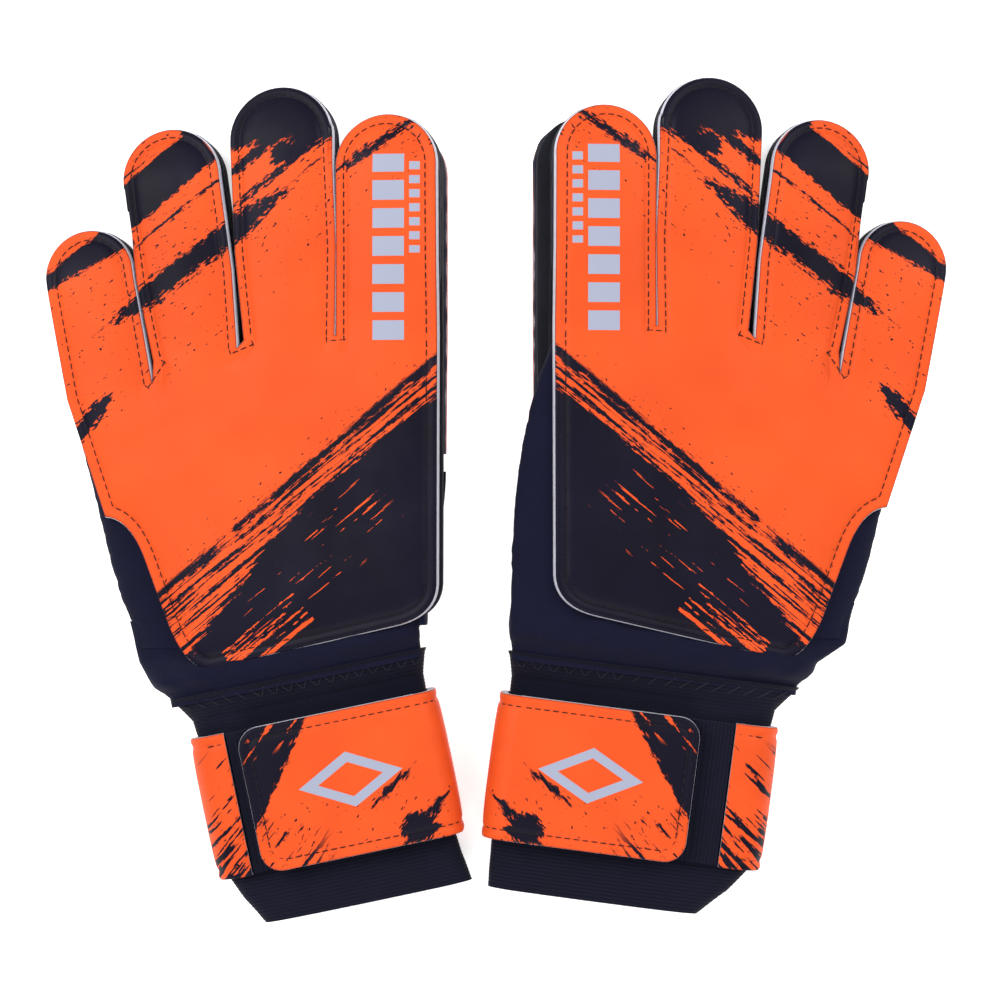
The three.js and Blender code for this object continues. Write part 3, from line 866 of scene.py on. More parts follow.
class GloveSizes(bpy.types.PropertyGroup):
    """Sizes of the sewing and padding."""

    seam: length_setting("Seam", 3.3 * MM, "Distance of the top stitching from the outer edges")
    slit_seam: length_setting("Slit seam", 2.5 * MM, "Distance of the top stitching from the slits")
    crown: length_setting("Crown", 1.3 * MM, "How far the padding stands up between its seams")
    flare: length_setting("Flare", 0.3 * MM, "How far the foam shows past the printed skin")
    curl: length_setting("Curl", 3.5 * MM, "How far the fingertips roll down")
    tail: length_setting("Tail", 1.5 * MM, "How far a seam runs on past a slit's corner")


def padding(depth, sizes, crown=1.0):
    """Height of a padded, stitched skin at each depth from its edge."""
    middle = (sizes.seam + sizes.slit_seam) / 2
    groove = GROOVE * np.exp(-(((depth - middle) / (0.9 * MM)) ** 2))
    swell = sizes.crown * crown * (1 - np.exp(-np.maximum(depth - sizes.seam, 0) / (5 * MM)))
    roll = SKIN * np.exp(-depth / (0.4 * MM))
    return swell - groove - roll


# ------------------------------------------------------------------ pieces
def backhand_faces(hand, sizes):
    low, high = hand.levels("backhand_panel")

    def top(xy, depth):
        dents = ripple(xy, 16 * MM, 3) * 0.45 * MM + ripple(xy, 6 * MM, 8) * 0.12 * MM
        return high + padding(depth, sizes) + dents * smooth(depth, 0, 6 * MM) - hand.drop(xy, sizes.curl)

    def bottom(xy, depth):
        return low - hand.drop(xy, sizes.curl * 0.75)

    return top, bottom


class GLOVES_OT_backhands(bpy.types.Operator):
    """Backhand panel and the four finger backs that continue it"""

    bl_idname = "gloves.backhands"
    bl_label = "Backhands"

    def execute(self, context):
        sizes, skins = context.scene.glove_sizes, finishes()
        materials = [skins["backhand"], skins["foam"]]
        for glove in GLOVES:
            hand = Hand(glove)
            rim = hand_rim(hand)
            top, bottom = backhand_faces(hand, sizes)
            panel = layer(
                hand, f"{glove}_backhand", hand_loop(hand), rim, top, bottom, materials, sizes.flare,
            )
            stand_for(panel, "printed_backhand", f"{glove}_backhand_panel")
            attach(panel, f"{glove}_hand")
            for name, stall in hand.stalls.items():
                loop = stall_loop(stall)
                back = layer(
                    hand, f"{glove}_{name}_finger_back", loop, rim, top, bottom, materials, sizes.flare,
                )
                stand_for(back, "printed_backhand", f"{glove}_{name}_back")
                ride_finger(back, hand, name)
        return {"FINISHED"}


def flat_faces(low, high, swell=0.0, roll=0.4 * MM, seed=1):
    """Faces of a plain sheet that swells by `swell` on its lower side."""

    def top(xy, depth):
        return np.full(len(xy), high) - roll * 0.3 * np.exp(-depth / (0.5 * MM))

    def bottom(xy, depth):
        curve_in = np.exp(-depth / (1.0 * MM)) * roll * 2.2
        groove = 0.35 * MM * np.exp(-(((depth - 3.6 * MM) / (0.8 * MM)) ** 2))
        dents = ripple(xy, 12 * MM, seed) * 0.3 * MM * smooth(depth, 0, 5 * MM)
        return low + curve_in + groove + dents - swell * smooth(depth, 3.5 * MM, 12 * MM)

    return top, bottom


class GLOVES_OT_palms(bpy.types.Operator):
    """Latex palm, the fingers' latex palms and the two linings"""

    bl_idname = "gloves.palms"
    bl_label = "Palms and linings"

    def execute(self, context):
        skins = finishes()
        for glove in GLOVES:
            hand = Hand(glove)
            rim = hand_rim(hand, palm=True)
            low, high = hand.levels("palm_pad")
            top, bottom = flat_faces(low, high)
            materials = [skins["latex"], skins["latex"]]
            coarse = [depth * MM for depth in (0.4, 1.0, 2.0, 3.0, 3.6, 4.2, 5.5)]
            pad = layer(
                hand, f"{glove}_palm", hand_loop(hand, palm=True), rim, top, bottom, materials,
                rings=coarse, grid=2.8 * MM,
            )
            stand_for(pad, "palm_latex", f"{glove}_palm_pad")
            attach(pad, f"{glove}_hand")
            for name, stall in hand.stalls.items():
                palm = layer(
                    hand, f"{glove}_{name}_finger_palm", stall_loop(stall), rim, top, bottom, materials,
                    rings=coarse, grid=2.8 * MM,
                )
                stand_for(palm, "palm_latex", f"{glove}_{name}_palm")
                ride_finger(palm, hand, name)
            self.lining(hand, "back_lining", hand_loop(hand), skins["lining"])
            self.lining(hand, "palm_lining", hand_loop(hand, palm=True), skins["lining"])
        return {"FINISHED"}

    def lining(self, hand, node, loop, finish):
        low, high = hand.levels(node)
        centre = loop.mean(0)
        shrunk = centre + (loop - centre) * 0.94

        def face(height):
            return lambda xy, depth: height + ripple(xy, 14 * MM, 5) * 0.15 * MM

        sheet = layer(
            hand, f"{hand.glove}_{node}_knit", shrunk, shrunk, face(high), face(low), [finish, finish],
            rings=[1.5 * MM, 3 * MM], grid=4 * MM,
        )
        stand_for(sheet, "lining", f"{hand.glove}_{node}")
        following = np.roll(shrunk, -1, axis=0)
        area = abs((shrunk[:, 0] * following[:, 1] - shrunk[:, 1] * following[:, 0]).sum()) / 2
        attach(sheet, f"{hand.glove}_hand")


def wall_profile(low, high, bulge, wall=1.1 * MM, count=9):
    """A fabric wall that bows out by `bulge` between two heights."""
    angles = np.linspace(math.pi / 2, -math.pi / 2, count)
    middle, half = (low + high) / 2, (high - low) / 2
    outer = [(bulge * math.cos(a) ** 0.8 if abs(math.cos(a)) > 1e-9 else 0.0, middle + half * math.sin(a))
             for a in angles]
    inner = [(out * 0.9 - wall, z) for out, z in outer[::-1]]
    return np.array(outer + inner)


def strip(path, height, bow):
    """The middle surface of a bowed wall that stands on a path, as rows of points."""
    rows = []
    for (x, y), out in zip(path, bow):
        profile = wall_profile(0.0, height, out)[:9]
        rows.append([(x + across, y, z) for across, z in profile])
    return rows


def silhouette(hand, node):
    """The outer line of a side wall, from the fingers to the wrist."""
    spots = hand.node(node)
    outward = 1 if node.startswith("little") else -1
    keep = [p for p in spots if not np.any(
        (np.abs(spots[:, 1] - p[1]) < 2 * MM) & (outward * (spots[:, 0] - p[0]) > 0.5 * MM)
    )]
    line = np.array(sorted(keep, key=lambda p: -p[1]))[:, :2]
    slack = SLACK[hand.glove][outward > 0] * smooth(-line[:, 1], 10 * MM, 55 * MM)
    return line + np.column_stack([outward * slack, np.zeros(len(line))])


class GLOVES_OT_gussets(bpy.types.Operator):
    """Stretch-fabric gussets of the fingers and the fabric at both sides of the hand"""

    bl_idname = "gloves.gussets"
    bl_label = "Gussets"

    def execute(self, context):
        sizes, skins = context.scene.glove_sizes, finishes()
        for glove in GLOVES:
            hand = Hand(glove)
            for name, stall in hand.stalls.items():
                low, high = hand.levels(f"{name}_gusset")
                path = even(stall.outline(1.1 * MM, 1.1 * MM), 1.2 * MM)
                drops = hand.drop(path, sizes.curl * 0.75)
                puckers = ripple(path, 4 * MM, 2) * 0.25 * MM
                along, _ = stall.measure(path)
                bow = (0.5 + 1.0 * smooth(along, 4 * MM, 25 * MM)) * MM + puckers

                def profile(i):
                    return wall_profile(low, high + 0.2 * MM - drops[i], bow[i])

                gusset = sweep(hand, f"{glove}_{name}_finger_gusset", path, profile, [skins["knit"]])
                stand_for(gusset, "stretch_fabric", f"{glove}_{name}_gusset")
                under = f"{glove}_{name}_finger_palm"
                cloth(gusset, strip(path, high - low, bow), "stretched", under, hem=HEM)
                ride_finger(gusset, hand, name)
            self.side(hand, "thumb_side_wall", skins["knit"])
            self.side(hand, "little_side_wall", skins["knit"])
        return {"FINISHED"}

    def side(self, hand, node, finish):
        """The loose fabric that closes one side of the hand, from the panel's edge to the palm's."""
        low, high = hand.levels(node)
        rim = silhouette(hand, node)
        ys = np.arange(rim[0, 1], rim[-1, 1] - 3 * MM, -1.3 * MM)
        edge = np.interp(-ys, -rim[:, 1], rim[:, 0])
        outward = 1 if node.startswith("little") else -1
        edge = edge - outward * 1.5 * MM * smooth(rim[-1, 1] + 14 * MM - ys, 0, 14 * MM)
        start = edge - 19 * MM if outward > 0 else np.full(len(ys), THUMB_EDGE[0] * MM + 6 * MM)
        folds = ripple(np.column_stack([edge * 2, ys]), 8 * MM, 6)
        puckers = ripple(np.column_stack([edge, ys]), 2.5 * MM, 7)
        middle, half = (low + high) / 2, (high - low) / 2
        turns = np.linspace(math.pi / 2, -math.pi / 2, 19)
        out = np.cos(turns).clip(0, 1) ** 0.5
        rings, skins = [], []
        for y, x, inner, fold, pucker in zip(ys, edge, start, folds, puckers):
            sag = (fold * 0.7 + pucker * 0.25) * MM * np.cos(turns)
            reach = inner + (x - inner) * out + outward * pucker * 0.3 * MM * out
            heights = middle + half * np.sin(turns) - np.abs(sag)
            skin = np.column_stack([reach, np.full(len(turns), y), heights])
            back = skin[::-1] - (outward * 1.2 * MM, 0, 0)
            back[:, 2] = middle + (back[:, 2] - middle) * 0.7
            rings.append(np.vstack([skin, back]))
            skins.append(skin)
        points = np.vstack(rings)
        faces = tube_faces(len(rings), len(rings[0]))
        wall = new_piece(f"{hand.glove}_{node}_fabric", hand.row(points), faces, [finish])
        stand_for(wall, "stretch_fabric", f"{hand.glove}_{node}")
        cloth(wall, skins, "gathered", f"{hand.glove}_palm")
        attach(wall, f"{hand.glove}_hand")


class GLOVES_OT_thumbs(bpy.types.Operator):
    """Folded thumb: latex face, gusset and foam back, with the panel at its root"""

    bl_idname = "gloves.thumbs"
    bl_label = "Thumbs"

    def execute(self, context):
        skins = finishes()
        for glove in GLOVES:
            hand = Hand(glove)
            thumb = hand.thumb
            loop = np.vstack([thumb.outline(), knuckle_cut(thumb)[::-1][1:-1]])
            low, high = hand.levels("thumb_palm")
            face = layer(
                hand, f"{glove}_thumb_latex", loop, loop, lambda xy, d: high - 0.6 * MM * np.exp(-d / MM),
                lambda xy, d: np.full(len(xy), low), [skins["latex"], skins["latex"]],
            )
            stand_for(face, "palm_latex", f"{glove}_thumb_palm")
            ride_finger(face, hand, "thumb")
            low, high = hand.levels("thumb_back")
            skin = [skins["foam"], skins["backhand"]]
            back = layer(
                hand, f"{glove}_thumb_foam", loop, loop, lambda xy, d: np.full(len(xy), high),
                lambda xy, d: low + 0.8 * MM * np.exp(-d / MM), skin,
            )
            for mark in back.data.attributes["print"].data:
                x, y, depth = mark.vector
                mark.vector = (x + THUMB_PRINT / (10 * MM), y, depth)
            stand_for(back, "printed_backhand", f"{glove}_thumb_back")
            ride_finger(back, hand, "thumb")
            low, high = hand.levels("thumb_gusset")
            path = even(thumb.outline(0.9 * MM, 0.9 * MM), 1.4 * MM)
            bow = 1.2 * MM + ripple(path, 5 * MM, 4) * 0.5 * MM

            def profile(i):
                return wall_profile(low - 0.5 * MM, high + 0.5 * MM, bow[i])

            gusset = sweep(hand, f"{glove}_thumb_wall", path, profile, [skins["knit"]])
            stand_for(gusset, "stretch_fabric", f"{glove}_thumb_gusset")
            cloth(gusset, strip(path, high - low, bow), "stretched", f"{glove}_thumb_latex", hem=HEM)
            ride_finger(gusset, hand, "thumb")
            self.root(hand, skins["knit"])
        return {"FINISHED"}

    def root(self, hand, finish):
        """The panel between the palm and the thumb, following its frame node's slope."""
        spots = hand.node("thumb_root_panel")
        left, right = spots[:, 0].min(), spots[:, 0].max()
        ys = np.linspace(spots[:, 1].min(), spots[:, 1].max(), 40)
        near = [spots[np.abs(spots[:, 1] - y) < 14 * MM] for y in ys]
        low = np.array([rows[:, 2].min() for rows in near])
        kernel = np.ones(11) / 11
        low = np.convolve(np.pad(low, 5, mode="edge"), kernel, mode="valid")
        start = hand.levels("palm_pad")[0]
        low = low + (start - low) * (1 - smooth(ys, ys[0], ys[0] + 14 * MM)) * 0.85
        share = np.linspace(-1, 1, 22)
        wall = 1.4 * MM
        rings = []
        for y, z in zip(ys, low):
            inset = 4.5 * MM * (1 - smooth(y, ys[0], ys[-1]))
            xs = np.linspace(left + inset, right, 22)
            cup = np.abs(share) ** 4 * min(4 * MM, max(start - z - 2 * wall, 0.3 * MM))
            wrinkle = ripple(np.column_stack([xs, np.full(22, y)]), 7 * MM, 7) * 0.4 * MM
            under = np.column_stack([xs, np.full(22, y), z + cup + wrinkle * (1 - share**2)])
            over = under[::-1] + (0, 0, wall)
            rings.append(np.vstack([under, over]))
        points = np.vstack(rings)
        panel = new_piece(
            f"{hand.glove}_thumb_root", hand.row(points), tube_faces(len(rings), len(rings[0])), [finish],
        )
        stand_for(panel, "stretch_fabric", f"{hand.glove}_thumb_root_panel")
        cloth(panel, [ring[: len(share)] for ring in rings], "stretched", f"{hand.glove}_palm")
        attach(panel, f"{hand.glove}_hand")


# ------------------------------------------------------------------ cuff and sleeve
def sections(wrist, node):
    """Rows of place along the arm, centre, height, half width, half height and tilt of a tube."""
    spots = wrist.node(node)
    spots = spots[np.argsort(spots[:, 1])]
    groups = np.split(spots, np.where(np.diff(spots[:, 1]) > 0.5 * MM)[0] + 1)
    rows = []
    for group in groups:
        left, right = group[group[:, 0].argmin()], group[group[:, 0].argmax()]
        centre, half = (left[0] + right[0]) / 2, (right[0] - left[0]) / 2
        tilt = (right[2] - left[2]) / (2 * half)
        level = group[:, 2] - tilt * (group[:, 0] - centre)
        rows.append((group[0, 1], centre, (level.max() + level.min()) / 2, half, np.ptp(level) / 2, tilt))
    return np.array(rows)


def tube_surface(rows, ys, count):
    """Evenly spaced points round a flattened tube, one ring for each place along the arm."""
    turns = np.linspace(0, 2 * math.pi, 721)
    surface = []
    for y in ys:
        centre, level, half, tall, tilt = (np.interp(y, rows[:, 0], rows[:, k]) for k in range(1, 6))
        across = half * np.sign(np.cos(turns)) * np.abs(np.cos(turns)) ** 0.62
        up = tall * np.sign(np.sin(turns)) * np.abs(np.sin(turns)) ** 0.62
        ring = np.column_stack([centre + across, np.full(len(turns), y), level + up + tilt * across])
        reach = np.concatenate([[0], np.cumsum(np.linalg.norm(np.diff(ring, axis=0), axis=1))])
        where = np.linspace(0, reach[-1], count, endpoint=False)
        surface.append(np.column_stack([np.interp(where, reach, ring[:, k]) for k in range(3)]))
    return np.array(surface)


def ring_normals(surface):
    run = np.roll(surface, -1, axis=1) - np.roll(surface, 1, axis=1)
    out = np.stack([run[:, :, 2], np.zeros(run.shape[:2]), -run[:, :, 0]], axis=2)
    return out / np.maximum(np.linalg.norm(out, axis=2), 1e-12)[:, :, None]


def fabric_tube(wrist, name, surface, relief, wall, finish):
    """A tube of cloth from its outer surface: it turns in at both ends, relief stands out of it."""
    normals = ring_normals(surface)
    outer = surface + normals * relief[:, :, None]
    inner = surface - normals * wall
    rows = np.concatenate([outer, inner[::-1]])
    count = surface.shape[1]
    girth = np.linalg.norm(np.roll(surface, -1, axis=1) - surface, axis=2)
    reach = np.cumsum(girth, axis=1) - girth
    marks = np.stack([reach, surface[:, :, 1], np.full(reach.shape, 0.01)], axis=2)
    marks = np.concatenate([marks, marks[::-1]]) / (10 * MM)
    points = wrist.row(rows.reshape(-1, 3))
    faces = tube_faces(len(rows), count, closed=True)
    return new_piece(name, points, faces, [finish], marks=marks.reshape(-1, 3), sharp=60)


class GLOVES_OT_cuffs(bpy.types.Operator):
    """Ribbed elastic cuff with its zigzag row, and the fabric sleeve above it"""

    bl_idname = "gloves.cuffs"
    bl_label = "Cuffs"

    def execute(self, context):
        skins = finishes()
        for glove in GLOVES:
            wrist = Wrist(glove)
            spots = wrist.node("elastic_cuff")
            low, high = spots[:, 1].min(), spots[:, 1].max()
            ys = np.arange(low, high, RIB / RIB_ROWS)
            count = 150
            surface = tube_surface(sections(wrist, "elastic_cuff"), ys, count)
            ribs = 0.16 * MM * np.abs(np.sin(math.pi * ys / RIB)) ** 0.7
            waves = np.array([[noise.noise(Vector((k * 0.13, y / (9 * MM), 1.0))) for k in range(count)]
                              for y in ys[::RIB_ROWS]])
            waves = np.repeat(waves, RIB_ROWS, axis=0)[: len(ys)] * 0.35 * MM
            free = smooth(np.abs(ys), 20 * MM, 24 * MM)[:, None]
            hem = 0.3 * MM * smooth(ys, high - 2 * MM, high)
            relief = (ribs + hem)[:, None] + waves * free
            cuff = fabric_tube(wrist, f"{glove}_cuff", surface, relief, 1.5 * MM, skins["elastic"])
            stand_for(cuff, "ribbed_elastic", f"{glove}_elastic_cuff")
            cloth(cuff, surface, "stretched", f"{glove}_sleeve")
            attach(cuff, f"{glove}_hand")
            self.zigzag(wrist, surface, ys, high, skins["lining"])
            self.sleeve(wrist, Hand(glove), skins["knit"])
        return {"FINISHED"}

    def zigzag(self, wrist, surface, ys, high, finish):
        normals = ring_normals(surface)
        total = surface.shape[1]
        rows = [np.argmin(np.abs(ys - (high - back))) for back in (1.6 * MM, 5.2 * MM)]
        line, ups = [], []
        for k in range(0, total, 2):
            row = rows[(k // 2) % 2]
            line.append(surface[row, k] + normals[row, k] * 0.25 * MM)
            ups.append(normals[row, k])
        pairs = [(wrist.row([a, b]), np.array([u, v]) @ wrist.axes)
                 for a, b, u, v in zip(line[:-1], line[1:], ups[:-1], ups[1:])]
        lines = [(points, upward) for points, upward in pairs if abs(upward @ wrist.up).min() > 0.6]
        span = float(np.linalg.norm(lines[0][0][1] - lines[0][0][0]))
        seam = stitches(f"{wrist.glove}_cuff_zigzag", lines, finish, span * 0.94, span, THREAD * 1.3)
        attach(seam, f"{wrist.glove}_hand")

    def sleeve(self, wrist, hand, finish):
        """From inside the cuff up into the hand, as wide there as the fabric at the hand's sides."""
        rows = sections(wrist, "wrist_sleeve")
        thumb_slack, little_slack = SLACK[wrist.glove]
        share = smooth(rows[:, 0], rows[0, 0] - 6 * MM, rows[-1, 0] + 4 * MM)
        rows[:, 1] += share * (little_slack - thumb_slack) / 2
        rows[:, 3] += share * (little_slack + thumb_slack) / 2
        low, high = hand.levels("little_side_wall")
        ends = []
        for rise in (7 * MM, 14 * MM, 20 * MM):
            y = rows[-1, 0] + rise
            sides = []
            for node in ("thumb_side_wall", "little_side_wall"):
                rim = silhouette(hand, node)
                rim = np.column_stack([rim, np.full(len(rim), (low + high) / 2)])
                rim = wrist.local(hand.row(rim))
                rim = rim[np.argsort(rim[:, 1])]
                sides.append([np.interp(y, rim[:, 1], rim[:, k]) for k in (0, 2)])
            (left, left_z), (right, right_z) = sides
            half = (right - left) / 2
            ends.append((y, (left + right) / 2, (left_z + right_z) / 2, half + 0.2 * MM, (high - low) / 2,
                         (right_z - left_z) / (2 * half)))
        rows = np.vstack([rows, ends])
        ys = np.linspace(rows[0, 0] - 3 * MM, rows[-1, 0], 40)
        count = 180
        surface = tube_surface(rows, ys, count)
        folds = np.array([
            [noise.noise(Vector((k * 0.16 + y / (13 * MM), y / (30 * MM), 4.0))) for k in range(count)]
            for y in ys
        ])
        ease = smooth(ys, ys[0] + 2.5 * MM, ys[0] + 8 * MM)[:, None]
        relief = (folds * 1.2 * ease - 0.3 * ease - 1.75 * (1 - ease)) * MM
        sleeve = fabric_tube(wrist, f"{wrist.glove}_sleeve", surface, relief, 1.2 * MM, finish)
        stand_for(sleeve, "stretch_fabric", f"{wrist.glove}_wrist_sleeve")
        cloth(sleeve, surface, "gathered", f"{wrist.glove}_cuff")
        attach(sleeve, f"{wrist.glove}_hand")


# ------------------------------------------------------------------ strap
def strap_relief(ys, half, sizes):
    depth = half - np.abs(ys)
    return padding(depth, sizes, 0.35)


def arc(x, z, radius, start, end, count=14):
    turns = np.linspace(start, end, count)
    return [(x + radius * math.cos(a), z + radius * math.sin(a)) for a in turns]


def rounded_loop(x0, x1, half, corner, step=STEP):
    """A clockwise rectangle whose far end (x1) has round corners."""
    turns = np.linspace(math.pi / 2, 0, 9)
    upper = [(x1 - corner + corner * math.cos(a), half - corner + corner * math.sin(a)) for a in turns]
    lower = [(x, -y) for x, y in upper[::-1]]
    points = [(x0, -half), (x0, half), *upper, *lower, (x0, -half)]
    return resample(points, step)[:-1]


class GLOVES_OT_straps(bpy.types.Operator):
    """Printed strap, its elastic section, the fastening patches and the flap"""

    bl_idname = "gloves.straps"
    bl_label = "Straps"

    def execute(self, context):
        sizes, skins = context.scene.glove_sizes, finishes()
        for glove in GLOVES:
            wrist = Wrist(glove)
            self.base(wrist, sizes, skins)
            self.elastic(wrist, skins["elastic"])
            self.flap(wrist, sizes, skins)
            self.patches(wrist, skins["tape"])
        return {"FINISHED"}

    def base(self, wrist, sizes, skins):
        spots = wrist.node("strap_base")
        thumb, little = spots[:, 0].min(), spots[:, 0].max()
        half = spots[:, 1].max()
        thick = 2.6 * MM
        inner = wrist.node("strap_elastic")
        lip_z = inner[:, 2].min() + thick / 2
        lip_x = inner[:, 0].max() + 0.4 * MM
        fold = -thumb - thick / 2
        top = wrist.fold - thick / 2
        radius = (lip_z + thick / 2) / 2
        path = [
            (0.0, top), *arc(0.0, top - fold, fold, math.pi / 2, math.pi),
            *arc(0.0, thick / 2 + fold, fold, math.pi, 1.5 * math.pi),
            *arc(little - radius, radius, radius - thick / 2, -math.pi / 2, math.pi / 2),
            (lip_x, lip_z),
        ]
        path = even(path, 1.3 * MM)
        run = np.gradient(path, axis=0)
        run /= np.linalg.norm(run, axis=1)[:, None]
        out = np.column_stack([run[:, 1], -run[:, 0]])
        edge = [0, 0.3, 0.8, 1.6, 2.4, 3.0, 3.6, 4.2, 5.0, 6.5]
        ys = np.array([-half + e * MM for e in edge])
        ys = np.concatenate([ys, np.linspace(ys[-1] + 2 * MM, -ys[-1] - 2 * MM, 14), -ys[::-1]])
        relief = strap_relief(ys, half, sizes)
        reach = np.concatenate([[0], np.cumsum(np.linalg.norm(np.diff(path, axis=0), axis=1))])
        free_end = wrist.node("strap_flap")[:, 0].max()
        rows, marks = [], []
        for spot, away, s in zip(path, out, reach):
            outer = [(spot[0] + away[0] * (thick / 2 + r), y, spot[1] + away[1] * (thick / 2 + r))
                     for y, r in zip(ys, relief)]
            under = [(spot[0] - away[0] * thick / 2, y, spot[1] - away[1] * thick / 2) for y in ys[::-1]]
            rows.append(outer + under)
            past = free_end - spot[0] if spot[1] > lip_z - 6 * MM and spot[0] > 0 else free_end + s
            depth = half - np.abs(ys)
            marks += [(past, y, d) for y, d in zip(ys, depth)] + [(past, y, 0.004) for y in ys[::-1]]
        size = len(rows[0])
        faces = tube_faces(len(rows), size)
        count = len(ys)
        kinds = [0 if k < count - 1 else 1 if k in (count - 1, size - 1) else 2
                 for _ in range(len(rows) - 1) for k in range(size)] + [1, 1]
        points = wrist.row(np.array([point for row in rows for point in row]))
        materials = [skins["strap"], skins["foam"], skins["lining"]]
        marks = np.array(marks) / (10 * MM)
        base = new_piece(f"{wrist.glove}_strap", points, faces, materials, kinds, marks)
        stand_for(base, "printed_strap", f"{wrist.glove}_strap_base")
        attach(base, f"{wrist.glove}_hand")

    def elastic(self, wrist, finish):
        """The ribbed section, its ribs running up the arm."""
        spots = wrist.node("strap_elastic")
        low, high = spots.min(0), spots.max(0)
        pitch = 1.55 * MM
        xs = np.arange(low[0], high[0], pitch / 6)
        ys = np.linspace(low[1] - 0.6 * MM, high[1] + 0.6 * MM, 24)
        ribs = 0.3 * MM * np.abs(np.sin(math.pi * xs / pitch)) ** 0.8
        rows, marks = [], []
        for x, rib in zip(xs, ribs):
            over = [(x, y, high[2] + rib - 0.2 * MM) for y in ys]
            under = [(x, y, low[2]) for y in ys[::-1]]
            rows.append(over + under)
            marks += [(y, x, 0.01) for y in ys] + [(y, x, 0.01) for y in ys[::-1]]
        points = wrist.row(np.array([point for row in rows for point in row]))
        faces = tube_faces(len(rows), len(rows[0]))
        band = new_piece(
            f"{wrist.glove}_strap_stretch", points, faces, [finish], sharp=60,
            marks=np.array(marks) / (10 * MM),
        )
        stand_for(band, "ribbed_elastic", f"{wrist.glove}_strap_elastic")
        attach(band, f"{wrist.glove}_hand")

    def flap(self, wrist, sizes, skins):
        spots = wrist.node("strap_flap")
        low, high = spots.min(0), spots.max(0)
        loop = rounded_loop(-0.6 * MM, high[0], high[1], FLAP_CORNER)
        rim = rounded_loop(PAST_FOLD, high[0], high[1], FLAP_CORNER)

        def top(xy, depth):
            dents = ripple(xy, 15 * MM, 12) * 0.3 * MM
            dents = dents * smooth(depth, 0, 6 * MM) * smooth(xy[:, 0], 0, 10 * MM)
            return high[2] + padding(depth, sizes, 0.35) + dents

        def bottom(xy, depth):
            return np.full(len(xy), low[2] + 0.2 * MM)

        materials = [skins["strap"], skins["foam"]]
        flap = layer(wrist, f"{wrist.glove}_flap", loop, rim, top, bottom, materials, sizes.flare * 0.4)
        marks = flap.data.attributes["print"].data
        for mark in marks:
            x, y, depth = mark.vector
            mark.vector = (high[0] * 100 - x, y, depth)
        stand_for(flap, "printed_strap", f"{wrist.glove}_strap_flap")
        start, end = wrist.row([[0, 0, wrist.fold], [9 * MM, 0, wrist.fold]])
        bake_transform(flap)
        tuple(start)
        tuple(end)

    def patches(self, wrist, finish):
        for node, body, upward in (("loop_patch", "hand", 1), ("hook_patch", "flap", -1)):
            spots = wrist.node(node)
            low, high = spots.min(0), spots.max(0)
            loop = rounded_loop(low[0], high[0], high[1], 2 * MM, 1.4 * MM)

            def face(height, rough):
                return lambda xy, depth: height + rough * ripple(xy, 1.6 * MM, 9) * 0.18 * MM

            tape = layer(
                wrist, f"{wrist.glove}_{node}_tape", loop, loop, face(high[2], upward > 0),
                face(low[2], upward < 0), [finish, finish], rings=[1 * MM, 2 * MM], grid=1.5 * MM,
            )
            stand_for(tape, "hook_and_loop", f"{wrist.glove}_{node}")
            flat = (float(high[0] - low[0]), float(high[1] - low[1]))
            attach(tape, f"{wrist.glove}_{body}")
            if upward < 0:
                self.hooks(wrist, low, high, finish)

    def hooks(self, wrist, low, high, finish):
        """Rows of small stems under the flap."""
        pitch = 1.7 * MM
        points, faces = [], []
        turns = np.arange(5) * 2 * math.pi / 5
        for x in np.arange(low[0] + 2 * MM, high[0] - 1.5 * MM, pitch):
            for y in np.arange(low[1] + 2 * MM, high[1] - 1.5 * MM, pitch):
                first = len(points)
                for drop, size in HOOK:
                    height = low[2] - drop * MM
                    points += [(x + size * MM * math.cos(a), y + size * MM * math.sin(a), height)
                               for a in turns]
                faces += [[first + k for k in face] for face in tube_faces(len(HOOK), len(turns))]
        stems = new_piece(f"{wrist.glove}_hook_stems", wrist.row(points), faces, [finish], sharp=60)
        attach(stems, f"{wrist.glove}_flap")


# ------------------------------------------------------------------ stitching
def lay_on(seat, path, top, rim, lift=0.05 * MM):
    """A flat line laid on a sheet's upper face, with its upward directions."""
    heights = top(path, distance(path, rim)) + lift
    points = seat.row(np.column_stack([path, heights]))
    return points, np.tile(seat.up, (len(path), 1))


